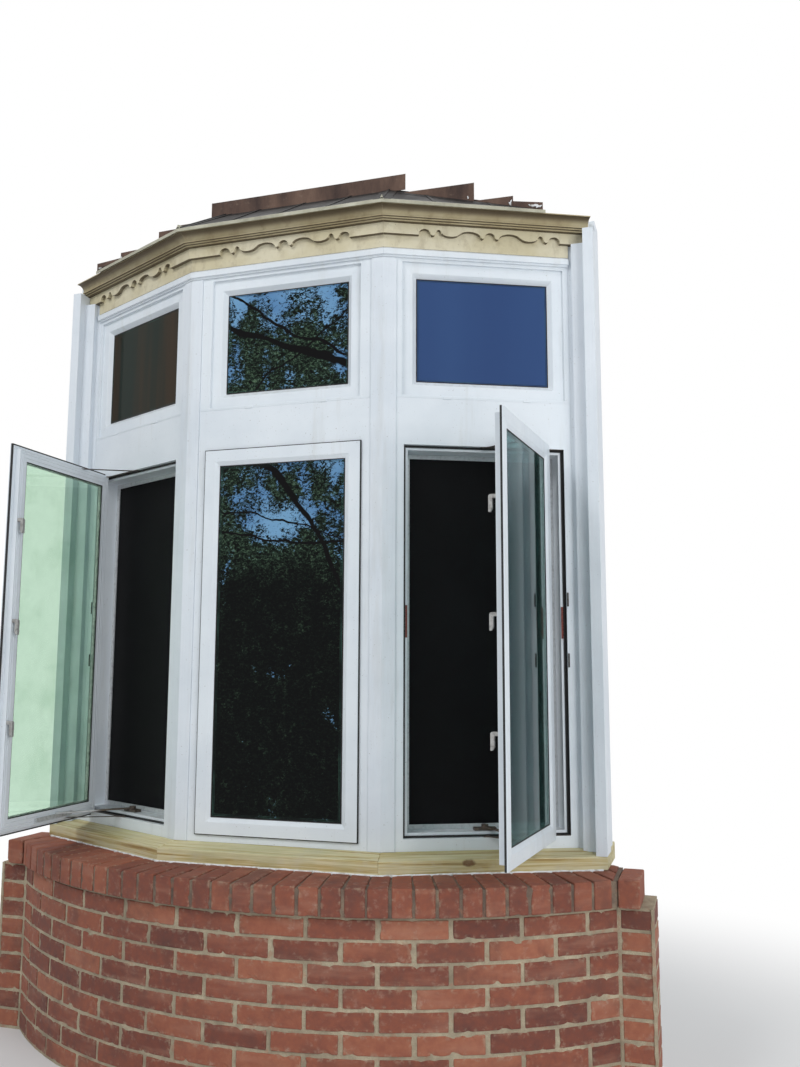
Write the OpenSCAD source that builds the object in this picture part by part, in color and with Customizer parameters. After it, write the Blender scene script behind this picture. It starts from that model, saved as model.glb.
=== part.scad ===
// Bay window: three window units on a bowed brick base, under a painted cornice and a hipped metal roof.
// +X runs to the right along the house wall, +Y into the house and +Z up.
// The origin is on the ground, on the centre line, under the middle of the brick wall's thickness.
// Plan positions on a facet are u, along the facet from the fold, and v, from its face into the house.

/* [Bay] */
// Angle between the centre facet and a side facet
bay_angle = 26; // [22:1:30]
// Distance from the house wall's face to the face of the centre window
bay_projection = 169; // [150:1:190]

/* [Brick base] */
// Height of one course, brick and bed joint
course_h = 66.7; // [60:0.1:76]
// Number of courses below the sill course
course_count = 9; // [6:1:12]
// Thickness of the bed joint under the sill course
bed_joint = 10; // [6:1:14]
// Thickness of the brick wall
brick_wall_t = 200; // [190:1:215]
// Distance from the face of the centre window to the front of the brick wall
brick_front = 267; // [240:1:280]
// How far the bow runs on past the wall opening, before the flat returns
bow_run_on = 36; // [20:1:50]
// Width of the flat return at each end of the bow
return_w = 113; // [95:1:125]
// Height of the sill course, which is a brick laid on its long edge
cap_h = 95; // [85:1:105]
// Length of a brick, which is the depth of the sill course
cap_depth = 203; // [195:1:215]
// How far the sill course stands proud of the wall
cap_overhang = 20; // [10:1:25]
// Fall of the sill course's top towards its front edge
cap_fall = 7; // [0:1:12]
// How far the sill course runs on over the flat return
cap_return_w = 72; // [60:1:90]

/* [Backing wall] */
// Thickness of the block wall under the windows
backing_t = 140; // [120:1:150]
// Distance from the window face to the block wall's face
backing_set_back = 5; // [3:1:30]

/* [Timber sill] */
// How far the timber sill stands out from the window face
sill_projection = 86; // [70:1:95]
// Height of the timber sill's front edge
sill_front_h = 44; // [38:1:50]
// Rise of the timber sill's top from its front edge to the window
sill_rise = 14; // [6:1:20]

/* [Windows] */
// Height of the window units
frame_h = 2079; // [2040:1:2150]
// Depth of the window frames
frame_d = 110; // [100:1:125]
// Width of the corner boards on each side of a fold
corner_board_w = 46; // [40:1:50]
// How far the corner boards stand proud of the frames
corner_board_proud = 4; // [2:1:6]
// Width of a casement sash, which sets the width of the whole bay
sash_w = 600; // [520:1:680]
// Width of the centre frame beside its sash
centre_jamb_w = 35; // [28:1:42]
// Width of a side frame beside its sash
side_jamb_w = 14.5; // [12:0.5:20]
// Height of a casement sash
sash_h = 1355; // [1340:1:1366]
// Thickness of a casement sash
sash_t = 30; // [28:1:36]
// How far the closed sash stands proud of the frame, with the weather strip behind its flange
sash_proud = 10; // [8:1:12]
// How far the sash's flange laps over the frame
flange_lap = 17; // [12:1:20]
// Thickness of the flange
flange_t = 3; // [2:0.5:4]
// Height of the sash's lower edge above the timber sill
sash_z = 27; // [24:1:32]
// Width of the sash's stiles and rails
sash_bar_w = 57; // [50:1:62]
// Depth of the glazing behind the sash's outer face
sash_set_back = 8; // [6:1:9]
// Depth of the weather strip's groove behind the flange
strip_groove_d = 5; // [3:1:6]
// Gap between the sash's body and the frame round it, which the hinge arms fill
sash_gap = 3.5; // [2.5:0.5:5]
// How far the frame's inner stop reaches past the sash's outer edge
stop_w = 30; // [26:1:34]
// Thickness of the double glazing
glazing_t = 18; // [14:1:22]
// Depth of the transom's glazing behind the frame's sunk band
glazing_set_back = 16; // [12:1:20]
// Overlap of the glazing behind the edge of its opening
glazing_lap = 12; // [8:1:16]
// How far the edge of the transom's glass lies inside the sash's edge
transom_inset = 60; // [50:1:70]
// Height of the transom's glass above the timber sill
transom_glass_z = 1600; // [1590:1:1620]
// Height of the frame over the transom's glass
frame_top_h = 100; // [90:1:112]
// Width of the sunk band round the transom's glass
transom_band_w = 54; // [45:1:60]
// Depth of the sunk band round the transom's glass
transom_band_d = 10; // [6:1:14]
// Width of the sloped bead round every pane
bead_w = 16; // [10:1:20]
// Opening angle of the left casement
left_open_angle = 62; // [58:1:68]
// Opening angle of the right casement
right_open_angle = 60; // [56:1:66]
// How far an open sash's hinge edge moves away from the jamb
hinge_slide = 64; // [54:1:68]
// Depth of an open sash's hinge corner behind the frame's face
hinge_v = 5; // [2:1:12]
// Length of the hinge tracks
track_l = 300; // [240:5:360]

/* [Jamb casings] */
// Width of a jamb casing, from the side frame's end to the wall opening
casing_w = 99.3; // [90:0.1:112]
// Width of the casing's inner fillet, beside the frame
casing_fillet_w = 16; // [10:1:22]
// Width of the casing's outer nose, against the wall
casing_nose_w = 37; // [30:1:44]
// Distance that the casing's flat stands out from the frame's end
casing_flat_out = 23; // [16:1:30]
// Distance that the casing's nose stands out from the frame's end
casing_nose_out = 58; // [50:1:66]
// Width of the strip that runs on from the casing past the cornice's end
casing_strip_w = 21; // [12:1:22]

/* [Head and cornice] */
// Height of the drip strip over the windows
drip_h = 34; // [26:1:40]
// Projection of the drip strip
drip_projection = 14; // [9:1:18]
// Height of the frieze from the windows to the cornice moulding
frieze_h = 86; // [80:1:100]
// Thickness of the frieze board
frieze_t = 8; // [6:1:12]
// Thickness of the scalloped board
scallop_t = 16; // [12:1:20]
// Height of the frieze that shows under the scalloped board's flat ends
scallop_drop = 46; // [40:1:50]
// Height of a scallop from the bottom of its lobes to the top of its arches
scallop_rise = 23; // [16:1:28]
// Height of the cornice moulding
crown_h = 47; // [44:1:56]
// Projection of the cornice moulding
crown_projection = 81; // [74:1:90]
// Radius of the cornice moulding's cove
cove_r = 26; // [22:1:28]
// How far the cornice runs past the side frames
crown_run_on = 63; // [50:1:66]

/* [Roof] */
// Pitch of the roof
roof_pitch = 32; // [28:1:36]
// Thickness of the roof's boards and metal sheet
roof_t = 18; // [15:1:24]
// Overhang of the roof's edge past the cornice
eave_overhang = 8; // [4:1:12]
// Height of the roof's metal edge
eave_h = 6; // [4:1:10]
// Thickness of the flashing sheet, with its turned edge
flashing_t = 3; // [2:0.5:4]
// Height of the flashing above the roof at the wall
flashing_h = 62; // [50:1:75]

/* [Inside] */
// Thickness of the window board
window_board_t = 28; // [22:1:35]
// Thickness of the ceiling board
ceiling_t = 18; // [15:1:24]

/* [Hidden] */
$fn = 48;

left = -1;
right = 1;
mitre_joint = 0.2;
centre_w = sash_w + 2 * (centre_jamb_w + corner_board_w);
side_w = sash_w + 2 * side_jamb_w + corner_board_w;
half_centre = centre_w / 2;
mitre = tan(bay_angle / 2);
face_y = brick_front - brick_wall_t / 2;
wall_y = face_y + bay_projection;
side_end_x = half_centre + side_w * cos(bay_angle);
side_end_y = face_y + side_w * sin(bay_angle);
opening_half_w = side_end_x + casing_w;

// The bow is a circular arc through its front and the two inner corners of the returns.
bow_half_w = opening_half_w + bow_run_on;
bow_rise = wall_y - (face_y - brick_front);
bow_r = (bow_half_w * bow_half_w + bow_rise * bow_rise) / (2 * bow_rise);
bow_y = face_y - brick_front + bow_r;
bow_in_r = bow_r - brick_wall_t;
bow_fn = 360;
cap_r = bow_r + cap_overhang;
cap_in_r = cap_r - cap_depth;
return_x = bow_half_w + return_w;
return_back_y = wall_y + brick_wall_t;

wall_top = course_h * course_count + bed_joint;
cap_top = wall_top + cap_h;
frame_z = cap_top + sill_front_h + sill_rise;
head_z = frame_z + frame_h;
crown_z = head_z + frieze_h;
eave_z = crown_z + crown_h;
eave_v = -crown_projection - eave_overhang;
run_end = side_w + crown_run_on;

sash_body_w = sash_w - 2 * flange_lap;
sash_body_h = sash_h - 2 * flange_lap;
opening_w = sash_body_w + 2 * sash_gap;
opening_h = sash_body_h + 2 * sash_gap;
opening_z = sash_z + flange_lap - sash_gap;
transom_glass_w = sash_w - 2 * transom_inset;
transom_glass_h = frame_h - frame_top_h - transom_glass_z;
stop_opening_w = sash_w - 2 * stop_w;
stop_opening_h = sash_h - 2 * stop_w;
side_mid_u = (corner_board_w + side_w) / 2;
glass_w = sash_w - 2 * sash_bar_w;
glass_h = sash_h - 2 * sash_bar_w;

white = "#eef0f0";
cream = "#cfc3a2";
timber = "#a3a07a";
brick = "#7d4336";
metal_brown = "#3a2b27";
steel = "#9a9c9c";

// Puts a shape drawn in u, v and z on the left or right facet.
module on_side(side) {
    mirror([side < 0 ? 1 : 0, 0, 0]) translate([half_centre, face_y, 0]) rotate([0, 0, bay_angle]) children();
}

// Puts a shape drawn in u, v and z, with u from the middle, on the centre facet.
module on_centre() {
    translate([0, face_y, 0]) children();
}

// Extrudes a v, z outline along u.
module along(from, to) {
    translate([from, 0, 0]) rotate([90, 0, 90]) linear_extrude(to - from) children();
}

// Plan of everything on the centre facet's side of the two mitres.
module centre_zone(out, in, low, high) {
    translate([0, 0, low]) linear_extrude(high - low) polygon([
        [-half_centre - out * mitre, -out],
        [half_centre + out * mitre, -out],
        [half_centre - in * mitre, in],
        [-half_centre + in * mitre, in]
    ]);
}

// Plan of everything on the side facet's side of its mitre, less a hairline joint.
module side_zone(out, in, end, low, high) {
    translate([0, 0, low]) linear_extrude(high - low) polygon([
        [mitre_joint - out * mitre, -out],
        [end, -out],
        [end, in],
        [mitre_joint + in * mitre, in]
    ]);
}

// Plan of a band that follows all three facets between two depths.
module band_plan(from_v, to_v, end) {
    function band_end(v) = [
        half_centre + end * cos(bay_angle) - v * sin(bay_angle),
        face_y + end * sin(bay_angle) + v * cos(bay_angle)
    ];
    function band_fold(v) = [half_centre - v * mitre, face_y + v];
    right_half = [band_fold(from_v), band_end(from_v), band_end(to_v), band_fold(to_v)];
    polygon(concat(right_half, [for (n = [3:-1:0]) [-right_half[n][0], right_half[n][1]]]));
}

// A run of moulding round the centre facet, cut to the mitres.
module centre_run(out, in, low, high) {
    on_centre() intersection() {
        along(-centre_w, centre_w) children();
        centre_zone(out, in, low, high);
    }
}

// A run of moulding along a side facet, from the mitre to its end.
module side_run(side, end, out, in, low, high) {
    on_side(side) intersection() {
        along(-centre_w, end) children();
        side_zone(out, in, end, low, high);
    }
}

// Everything within the wall opening, in plan.
module within_opening(high) {
    translate([-opening_half_w, -return_back_y, 0]) cube([2 * opening_half_w, 3 * return_back_y, high]);
}

// Brick base and sill course
module bow_disc(radius) {
    translate([0, bow_y]) circle(r = radius, $fn = bow_fn);
}

module base_plan(out_r, in_r, end_x, front_y, back_y) {
    difference() {
        union() {
            intersection() {
                bow_disc(out_r);
                translate([-end_x, bow_y - out_r]) square([2 * end_x, wall_y - bow_y + out_r]);
            }
            translate([-end_x, front_y]) square([2 * end_x, back_y - front_y]);
        }
        bow_disc(in_r);
    }
}

module brick_base() {
    color(brick) linear_extrude(wall_top)
        base_plan(bow_r, bow_in_r, return_x, wall_y, return_back_y);
}

module brick_sill_course() {
    cap_end_x = bow_half_w + cap_return_w;
    cap_front_y = bow_y - sqrt(cap_r * cap_r - bow_half_w * bow_half_w);
    slope_r = cap_in_r + (cap_r - cap_in_r) / 3;
    ear_lap = 1;
    color(brick) union() {
        intersection() {
            translate([0, bow_y, 0]) rotate_extrude($fn = bow_fn) polygon([
                [cap_in_r, wall_top],
                [cap_r, wall_top],
                [cap_r, cap_top - cap_fall],
                [slope_r, cap_top],
                [cap_in_r, cap_top]
            ]);
            translate([-bow_half_w, bow_y - cap_r, 0])
                cube([2 * bow_half_w, cap_front_y + cap_depth - bow_y + cap_r, 2 * cap_top]);
        }
        for (side = [left, right]) mirror([side < 0 ? 1 : 0, 0, 0])
            translate([bow_half_w - ear_lap, cap_front_y, wall_top])
            cube([cap_return_w + ear_lap, cap_depth, cap_h - cap_fall]);
    }
}

// Block wall under the windows, laid against the back of the brick
module backing_wall() {
    color("#c9c4b8") linear_extrude(cap_top) intersection() {
        band_plan(backing_set_back, backing_set_back + backing_t, run_end);
        bow_disc(bow_in_r - 0.3);
    }
}

// Timber sill
module sill_profile() {
    polygon([
        [-sill_projection, cap_top],
        [-sill_projection, cap_top + sill_front_h],
        [0, frame_z],
        [frame_d, frame_z],
        [frame_d, cap_top]
    ]);
}

module timber_sill_centre() {
    color(timber) centre_run(sill_projection, frame_d, cap_top, frame_z) sill_profile();
}

module timber_sill_side(side) {
    color(timber) intersection() {
        side_run(side, centre_w + side_w, sill_projection, frame_d, cap_top, frame_z) sill_profile();
        within_opening(frame_z);
    }
}

// Window units
// A plate in the facet's plane, centred on u, with its lower edge at z.
module plate(mid_u, w, z, h, v, d) {
    translate([mid_u - w / 2, v, z]) cube([w, d, h]);
}

// The opening inside four sloped beads, which narrows by a bead's width on each side
module beaded_opening(mid_u, w, z, h, from_v, to_v) {
    lead = 1;
    start_v = from_v - lead;
    flare = bead_w * (to_v - start_v) / (to_v - from_v);
    intersection() {
        along(mid_u - w, mid_u + w) polygon([
            [start_v, z - flare],
            [to_v, z],
            [to_v, z + h],
            [start_v, z + h + flare]
        ]);
        translate([mid_u, 0, z - h]) linear_extrude(3 * h) polygon([
            [-w / 2 - flare, start_v],
            [w / 2 + flare, start_v],
            [w / 2, to_v],
            [-w / 2, to_v]
        ]);
    }
}

module window_unit(from_u, to_u, mid_u) {
    band_w = transom_glass_w + 2 * transom_band_w;
    band_h = transom_glass_h + 2 * transom_band_w;
    band_z = transom_glass_z - transom_band_w;
    lap_w = transom_glass_w + 2 * glazing_lap;
    lap_h = transom_glass_h + 2 * glazing_lap;
    lap_z = transom_glass_z - glazing_lap;
    seat_v = transom_band_d + glazing_set_back;
    color(white) translate([0, 0, frame_z]) difference() {
        translate([from_u, 0, 0]) cube([to_u - from_u, frame_d, frame_h]);
        plate(mid_u, opening_w, opening_z, opening_h, -1, sash_t - sash_proud + 1);
        plate(mid_u, stop_opening_w, sash_z + stop_w, stop_opening_h, -1, frame_d + 2);
        plate(mid_u, band_w, band_z, band_h, -1, transom_band_d + 1);
        plate(mid_u, transom_glass_w, transom_glass_z, transom_glass_h, -1, frame_d + 2);
        beaded_opening(mid_u, transom_glass_w, transom_glass_z, transom_glass_h, transom_band_d, seat_v);
        plate(mid_u, lap_w, lap_z, lap_h, seat_v, frame_d);
    }
}

module window_frame_centre() {
    on_centre() window_unit(corner_board_w - half_centre, half_centre - corner_board_w, 0);
}

module window_frame_side(side) {
    on_side(side) window_unit(corner_board_w, side_w, side_mid_u);
}

module transom_pane(mid_u) {
    color("#23302a") translate([0, 0, frame_z]) plate(
        mid_u,
        transom_glass_w + 2 * glazing_lap,
        transom_glass_z - glazing_lap,
        transom_glass_h + 2 * glazing_lap,
        transom_band_d + glazing_set_back,
        glazing_t
    );
}

module transom_glass_centre() {
    on_centre() transom_pane(0);
}

module transom_glass_side(side) {
    on_side(side) transom_pane(side_mid_u);
}

// Corner posts, which cover the folds
module post_plan(proud) {
    polygon([
        [-corner_board_w, -proud],
        [proud * mitre, -proud],
        [corner_board_w * cos(bay_angle) + proud * sin(bay_angle),
            corner_board_w * sin(bay_angle) - proud * cos(bay_angle)],
        [corner_board_w * cos(bay_angle) - frame_d * sin(bay_angle),
            corner_board_w * sin(bay_angle) + frame_d * cos(bay_angle)],
        [-frame_d * mitre, frame_d],
        [-corner_board_w, frame_d]
    ]);
}

module corner_post(side) {
    reach = 2 * corner_board_w;
    color(white) mirror([side < 0 ? 1 : 0, 0, 0]) translate([half_centre, face_y, frame_z]) difference() {
        linear_extrude(frame_h) post_plan(corner_board_proud);
        translate([0, 0, frame_h - drip_h]) linear_extrude(2 * drip_h) polygon([
            [-reach, 0],
            [0, 0],
            [reach * cos(bay_angle), reach * sin(bay_angle)],
            [reach, -reach],
            [-reach, -reach]
        ]);
    }
}

// Jamb casings between the side frames and the wall opening
casing_back_y = side_end_y + frame_d * cos(bay_angle);

module casing_plan() {
    flat_x = side_end_x + casing_fillet_w;
    nose_x = opening_half_w - casing_nose_w;
    polygon([
        [side_end_x, side_end_y],
        [flat_x, side_end_y],
        [flat_x, side_end_y - casing_flat_out],
        [nose_x, side_end_y - casing_flat_out],
        [nose_x, side_end_y - casing_nose_out],
        [opening_half_w, side_end_y - casing_nose_out],
        [opening_half_w, casing_back_y],
        [side_end_x - frame_d * sin(bay_angle), casing_back_y]
    ]);
}

// Strip that runs on up the wall opening, behind the cornice's end
module casing_strip() {
    translate([opening_half_w - casing_strip_w, side_end_y, frame_z])
        cube([casing_strip_w, casing_back_y - side_end_y, eave_z - frame_z]);
}

module jamb_casing(side) {
    low_z = frame_z - sill_rise;
    board_out = frieze_t + scallop_t;
    front_reach = 2 * casing_nose_out;
    color(white) difference() {
        mirror([side < 0 ? 1 : 0, 0, 0]) union() {
            translate([0, 0, low_z]) linear_extrude(crown_z - low_z) casing_plan();
            casing_strip();
        }
        timber_sill_side(side);
        on_side(side) {
            translate([0, 0, cap_top]) cube([centre_w + side_w, frame_d, frame_z - cap_top]);
            translate([0, 0, head_z]) cube([run_end, 2 * frame_d, crown_h + frieze_h]);
            translate([0, -front_reach, head_z]) cube([side_w, 2 * front_reach, frieze_h + 1]);
        }
        trim_end_space(side, head_z + scallop_drop, crown_z + 1);
    }
}

// Space over the casing's flat, in front of the beam and beside the nose
module trim_end_space(side, low, high) {
    nose_x = opening_half_w - casing_nose_w;
    intersection() {
        on_side(side) translate([side_w, -2 * casing_nose_out, low])
            cube([2 * crown_run_on, 2 * casing_nose_out, high - low]);
        translate([-nose_x, 0, low]) cube([2 * nose_x, return_back_y, high - low]);
    }
}

// Casement sashes, drawn with the hinge edge at u = 0 and the outer face at v = 0
rib_w = 9;
rib_h = 2;
module ring(w, h, bar, t) {
    difference() {
        cube([w, t, h]);
        translate([bar, -1, bar]) cube([w - 2 * bar, t + 2, h - 2 * bar]);
    }
}

module sash() {
    lap = sash_bar_w - glazing_lap;
    color(white) difference() {
        union() {
            cube([sash_w, flange_t, sash_h]);
            translate([strip_groove_d, 0, strip_groove_d])
                cube([sash_w - 2 * strip_groove_d, sash_proud, sash_h - 2 * strip_groove_d]);
            translate([flange_lap, 0, flange_lap]) cube([sash_body_w, sash_t, sash_body_h]);
        }
        translate([sash_bar_w, -1, sash_bar_w]) cube([glass_w, sash_t + 2, glass_h]);
        translate([lap, sash_set_back, lap]) cube([sash_w - 2 * lap, sash_t, sash_h - 2 * lap]);
        beaded_opening(sash_w / 2, glass_w, sash_bar_w, glass_h, 0, sash_set_back);
        for (inset = [flange_lap + rib_w / 2, flange_lap + 1.6 * rib_w])
            translate([inset, sash_t - rib_h, inset])
            ring(sash_w - 2 * inset, sash_h - 2 * inset, rib_w / 2, rib_h + 1);
    }
}

module sash_pane() {
    lap = sash_bar_w - glazing_lap;
    color("#2c3a33") translate([lap, sash_set_back, lap])
        cube([sash_w - 2 * lap, glazing_t, sash_h - 2 * lap]);
}

// Closed casement of the centre facet
module at_centre_sash() {
    on_centre() translate([-sash_w / 2, -sash_proud, frame_z + sash_z]) children();
}

// Open casement of a side facet, hung at the jamb and swung out by its angle
module at_side_sash(side, angle) {
    on_side(side) translate([side_mid_u + sash_w / 2 - hinge_slide, hinge_v, frame_z + sash_z])
        rotate([0, 0, angle]) mirror([1, 0, 0]) children();
}

function open_angle(side) = side < 0 ? left_open_angle : right_open_angle;

// Place on the facet of a point of the open sash, s along it from the hinge and t into it
function sash_point(side, s, t) = let (a = open_angle(side)) [
    side_mid_u + sash_w / 2 - hinge_slide - s * cos(a) - t * sin(a),
    hinge_v - s * sin(a) + t * cos(a)
];

// Insect screens, in the inner stop of the side frames
screen_v = 86;
screen_t = 10;
screen_bar_w = 16;
screen_gap = 0.3;
mesh_t = 1;

module screen_frame(side) {
    w = stop_opening_w - 2 * screen_gap;
    h = stop_opening_h - 2 * screen_gap;
    color("#d8dadb") on_side(side)
        translate([side_mid_u - w / 2, screen_v, frame_z + sash_z + stop_w + screen_gap])
        ring(w, h, screen_bar_w, screen_t);
}

module screen_mesh(side) {
    w = stop_opening_w - 2 * screen_gap - 2 * screen_bar_w;
    h = stop_opening_h - 2 * screen_gap - 2 * screen_bar_w;
    color("#15171a") on_side(side) translate([0, 0, frame_z])
        plate(side_mid_u, w, sash_z + stop_w + screen_gap + screen_bar_w, h, screen_v + screen_t / 2, mesh_t);
}

// Hardware of the open casements
// A flat bar with round ends, from point to point, with its lower face at z.
module link(from, to, w, z, t) {
    run = to - from;
    translate([from[0], from[1], z]) rotate([0, 0, atan2(run[1], run[0])]) union() {
        translate([0, -w / 2, 0]) cube([norm(run), w, t]);
        cylinder(d = w, h = t);
        translate([norm(run), 0, 0]) cylinder(d = w, h = t);
    }
}

module hinge_pair(side) {
    arm_w = 16;
    track_v = (sash_t - sash_proud) / 2;
    track_from = side_mid_u + opening_w / 2 - track_l;
    shoe = sash_point(side, flange_lap + 2, sash_t - 2);
    arm_end = sash_point(side, sash_w / 3, (sash_proud + sash_t) / 2);
    for (flip = [0, 1]) translate([0, 0, sash_z + sash_h / 2]) mirror([0, 0, flip])
        translate([0, 0, -opening_h / 2]) union() {
            translate([track_from, track_v - arm_w / 2, 0]) cube([track_l, arm_w, sash_gap / 2]);
            link([track_from + arm_w, track_v], arm_end, arm_w, sash_gap / 2, sash_gap / 2);
            translate([shoe[0], shoe[1], 0]) cylinder(d = arm_w, h = sash_gap);
        }
}

module hinge_arms(side) {
    color(steel) on_side(side) translate([0, 0, frame_z]) hinge_pair(side);
}

module operator(side) {
    base_w = 76;
    base_d = 28;
    base_h = 20;
    arm_w = 14;
    arm_t = 5;
    rail_h = 14;
    rail_t = 8;
    sill_top = sash_z + stop_w;
    pivot = [side_mid_u, sash_t + base_d / 2 + 4];
    rail_from = sash_w * 0.3;
    rail_to = sash_w * 0.66;
    arm_end = sash_point(side, sash_w * 0.45, sash_t + rail_t / 2);
    color(steel) on_side(side) translate([0, 0, frame_z]) union() {
        translate([pivot[0] - base_w / 2, pivot[1] - base_d / 2, sill_top]) cube([base_w, base_d, base_h / 2]);
        link(pivot, arm_end, arm_w, sill_top + base_h / 2, arm_t);
        translate([pivot[0], pivot[1], sill_top]) cylinder(d = base_d - 4, h = base_h);
    }
    color(steel) at_side_sash(side, open_angle(side))
        translate([rail_from, sash_t, stop_w + base_h / 2 - rail_h]) cube([rail_to - rail_from, rail_t, rail_h]);
    color(white) on_side(side) translate([side_mid_u, screen_v + screen_t, frame_z + sill_top]) folded_crank();
}

// Folded crank on the inside of the sill
module folded_crank() {
    case_w = 70;
    case_d = 30;
    case_h = 18;
    crank_l = 90;
    crank_w = 14;
    crank_t = 8;
    knob_d = 16;
    knob_h = 22;
    clear_v = 2;
    mid_v = clear_v + case_d / 2;
    knob_u = case_w;
    union() {
        translate([-case_w / 2, clear_v, 0]) cube([case_w, case_d, case_h]);
        link([knob_u - crank_l, mid_v], [knob_u, mid_v], crank_w, case_h, crank_t);
        translate([knob_u, mid_v, case_h]) cylinder(d = knob_d, h = knob_h);
    }
}

// Outline of a lock's hook, which reaches in from the sash and hangs down to a bevelled tip
module hook_outline() {
    hook_h = 54;
    hook_out = 24;
    hook_t = 12;
    round_r = 7;
    tip_h = 10;
    polygon(concat(
        [[0, 0]],
        [for (n = [0:4]) let (a = 90 - 22.5 * n)
            [hook_out - round_r + round_r * cos(a), -round_r + round_r * sin(a)]],
        [[hook_out, -hook_h], [hook_out - hook_t / 2, -hook_h], [hook_out - hook_t, tip_h - hook_h]],
        [[hook_out - hook_t, -hook_t - 2], [hook_out - hook_t - 2, -hook_t], [0, -hook_t]]
    ));
}

module lock_keepers(side) {
    hook_w = 12;
    hook_s = sash_w - flange_lap - 1.2 * hook_w;
    color(steel) at_side_sash(side, open_angle(side)) for (share = [0.287, 0.543, 0.804])
        along(hook_s, hook_s + hook_w) translate([sash_t, sash_h * share]) hook_outline();
}

// Drip strip, frieze and scalloped boards
module drip_profile() {
    nib = drip_projection / 2;
    polygon([
        [0, head_z - drip_h],
        [-nib, head_z - drip_h],
        [-nib, head_z - drip_h + nib],
        [-drip_projection, head_z - drip_h + nib],
        [-drip_projection, head_z - nib],
        [-nib, head_z],
        [0, head_z]
    ]);
}

module all_round(end, out, in, low, high) {
    centre_run(out, in, low, high) children();
    for (side = [left, right]) side_run(side, end, out, in, low, high) children();
}

module drip_strip() {
    color(white) all_round(side_w, drip_projection, 0, head_z - drip_h, head_z) drip_profile();
}

module frieze_board() {
    color(cream) translate([0, 0, head_z]) linear_extrude(frieze_h) band_plan(-frieze_t, 0, side_w);
}

// Half the scalloped edge, from the middle of the board out: the width of each arch and lobe in turn
scallop_waves = [18, 18, 76, 64, 22, 20, 40];
wave_steps = 8;
arch_share = 0.56;
lobe_share = 1 - arch_share;

function wave_start(k) = k == 0 ? 0 : wave_start(k - 1) + scallop_waves[k - 1];
function wave_bulge(t) = pow(sin(180 * t), 0.6);
function wave_height(k, t) = k % 2 == 0 ? arch_share * wave_bulge(t) : -lobe_share * wave_bulge(t);

// Points of the edge from the middle to its flat end; the first arch is drawn from its top
scallop_points = [for (k = [0:len(scallop_waves) - 1]) for (n = [0:wave_steps - 1])
    let (t = n / wave_steps, turn = k == 0 ? 0.5 + t / 2 : t)
    [wave_start(k) + scallop_waves[k] * t, lobe_share + wave_height(k, turn)]
];

module scallop_outline(half_l) {
    edge_z = head_z + scallop_drop;
    last = wave_start(len(scallop_waves));
    right_half = concat(
        [for (p = scallop_points) [p[0], edge_z + scallop_rise * p[1]]],
        [[last, edge_z + scallop_rise * lobe_share], [last, edge_z], [half_l, edge_z], [half_l, crown_z]]
    );
    count = len(right_half);
    left_half = [for (n = [1:count - 1]) let (p = right_half[count - n]) [-p[0], p[1]]];
    polygon(concat(right_half, left_half));
}

module scalloped_board(mid_u) {
    translate([mid_u, -frieze_t, 0]) rotate([90, 0, 0]) linear_extrude(scallop_t) scallop_outline(centre_w);
}

module scalloped_trim_centre() {
    out = frieze_t + scallop_t;
    color(cream) on_centre() intersection() {
        scalloped_board(0);
        centre_zone(out, 0, head_z, crown_z);
    }
}

module scalloped_trim_side(side) {
    out = frieze_t + scallop_t;
    edge_z = head_z + scallop_drop;
    lap = 1;
    color(cream) union() {
        on_side(side) intersection() {
            scalloped_board(half_centre);
            side_zone(out, 0, side_w, head_z, crown_z);
        }
        intersection() {
            on_side(side) translate([side_w - lap, -out, edge_z]) cube([crown_run_on, out, crown_z - edge_z]);
            union() {
                trim_end_space(side, edge_z, crown_z);
                on_side(side) translate([0, -out, edge_z]) cube([side_w, scallop_t, crown_z - edge_z]);
            }
        }
    }
}

// Cornice moulding: two square fillets, a hollow cove and a thin top fillet
fillet_h = 8;
cove_steps = 10;
module crown_profile() {
    cove_out = crown_projection - fillet_h / 2;
    cove_top = eave_z - fillet_h / 2;
    cove_points = [for (n = [0:cove_steps]) let (a = 90 * n / cove_steps)
        [-cove_out + cove_r * cos(a), cove_top - cove_r + cove_r * sin(a)]];
    polygon(concat(
        [
            [0, crown_z],
            [-cove_out + cove_r + 1.5 * fillet_h, crown_z],
            [-cove_out + cove_r + 1.5 * fillet_h, crown_z + fillet_h * 0.7],
            [-cove_out + cove_r + fillet_h * 0.5, crown_z + fillet_h * 0.7],
            [-cove_out + cove_r + fillet_h * 0.5, crown_z + fillet_h * 1.4],
            [-cove_out + cove_r - fillet_h * 0.4, crown_z + fillet_h * 1.4],
            [-cove_out + cove_r - fillet_h * 0.4, cove_top - cove_r]
        ],
        cove_points,
        [[-crown_projection, cove_top], [-crown_projection, eave_z], [0, eave_z]]
    ));
}

module crown_centre() {
    color(cream) centre_run(crown_projection, 0, crown_z, eave_z) crown_profile();
}

module crown_side(side) {
    color(cream) side_run(side, run_end, crown_projection, 0, crown_z, eave_z) crown_profile();
}

// Roof, laid on the cornice and on the sloped top of the head beam
roof_drop = roof_t / cos(roof_pitch);
roof_high = eave_z + (bay_projection + side_w) * tan(roof_pitch);
function roof_z(v) = eave_z + eave_h + (v - eave_v) * tan(roof_pitch);

// Roof height above the house wall's face at x, on the side slope
function wall_line_z(x) = roof_z(bay_projection * cos(bay_angle) - (x - half_centre) * sin(bay_angle));

module roof_profile() {
    far_v = side_w;
    polygon([
        [eave_v, eave_z],
        [eave_v, eave_z + eave_h],
        [far_v, roof_z(far_v)],
        [far_v, roof_z(far_v) - roof_drop],
        [eave_v + (roof_drop - eave_h) / tan(roof_pitch), eave_z]
    ]);
}

module roof_skin_profile() {
    far_v = side_w;
    polygon([
        [eave_v, roof_z(eave_v)],
        [eave_v, roof_z(eave_v) + flashing_t],
        [far_v, roof_z(far_v) + flashing_t],
        [far_v, roof_z(far_v)]
    ]);
}

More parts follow.
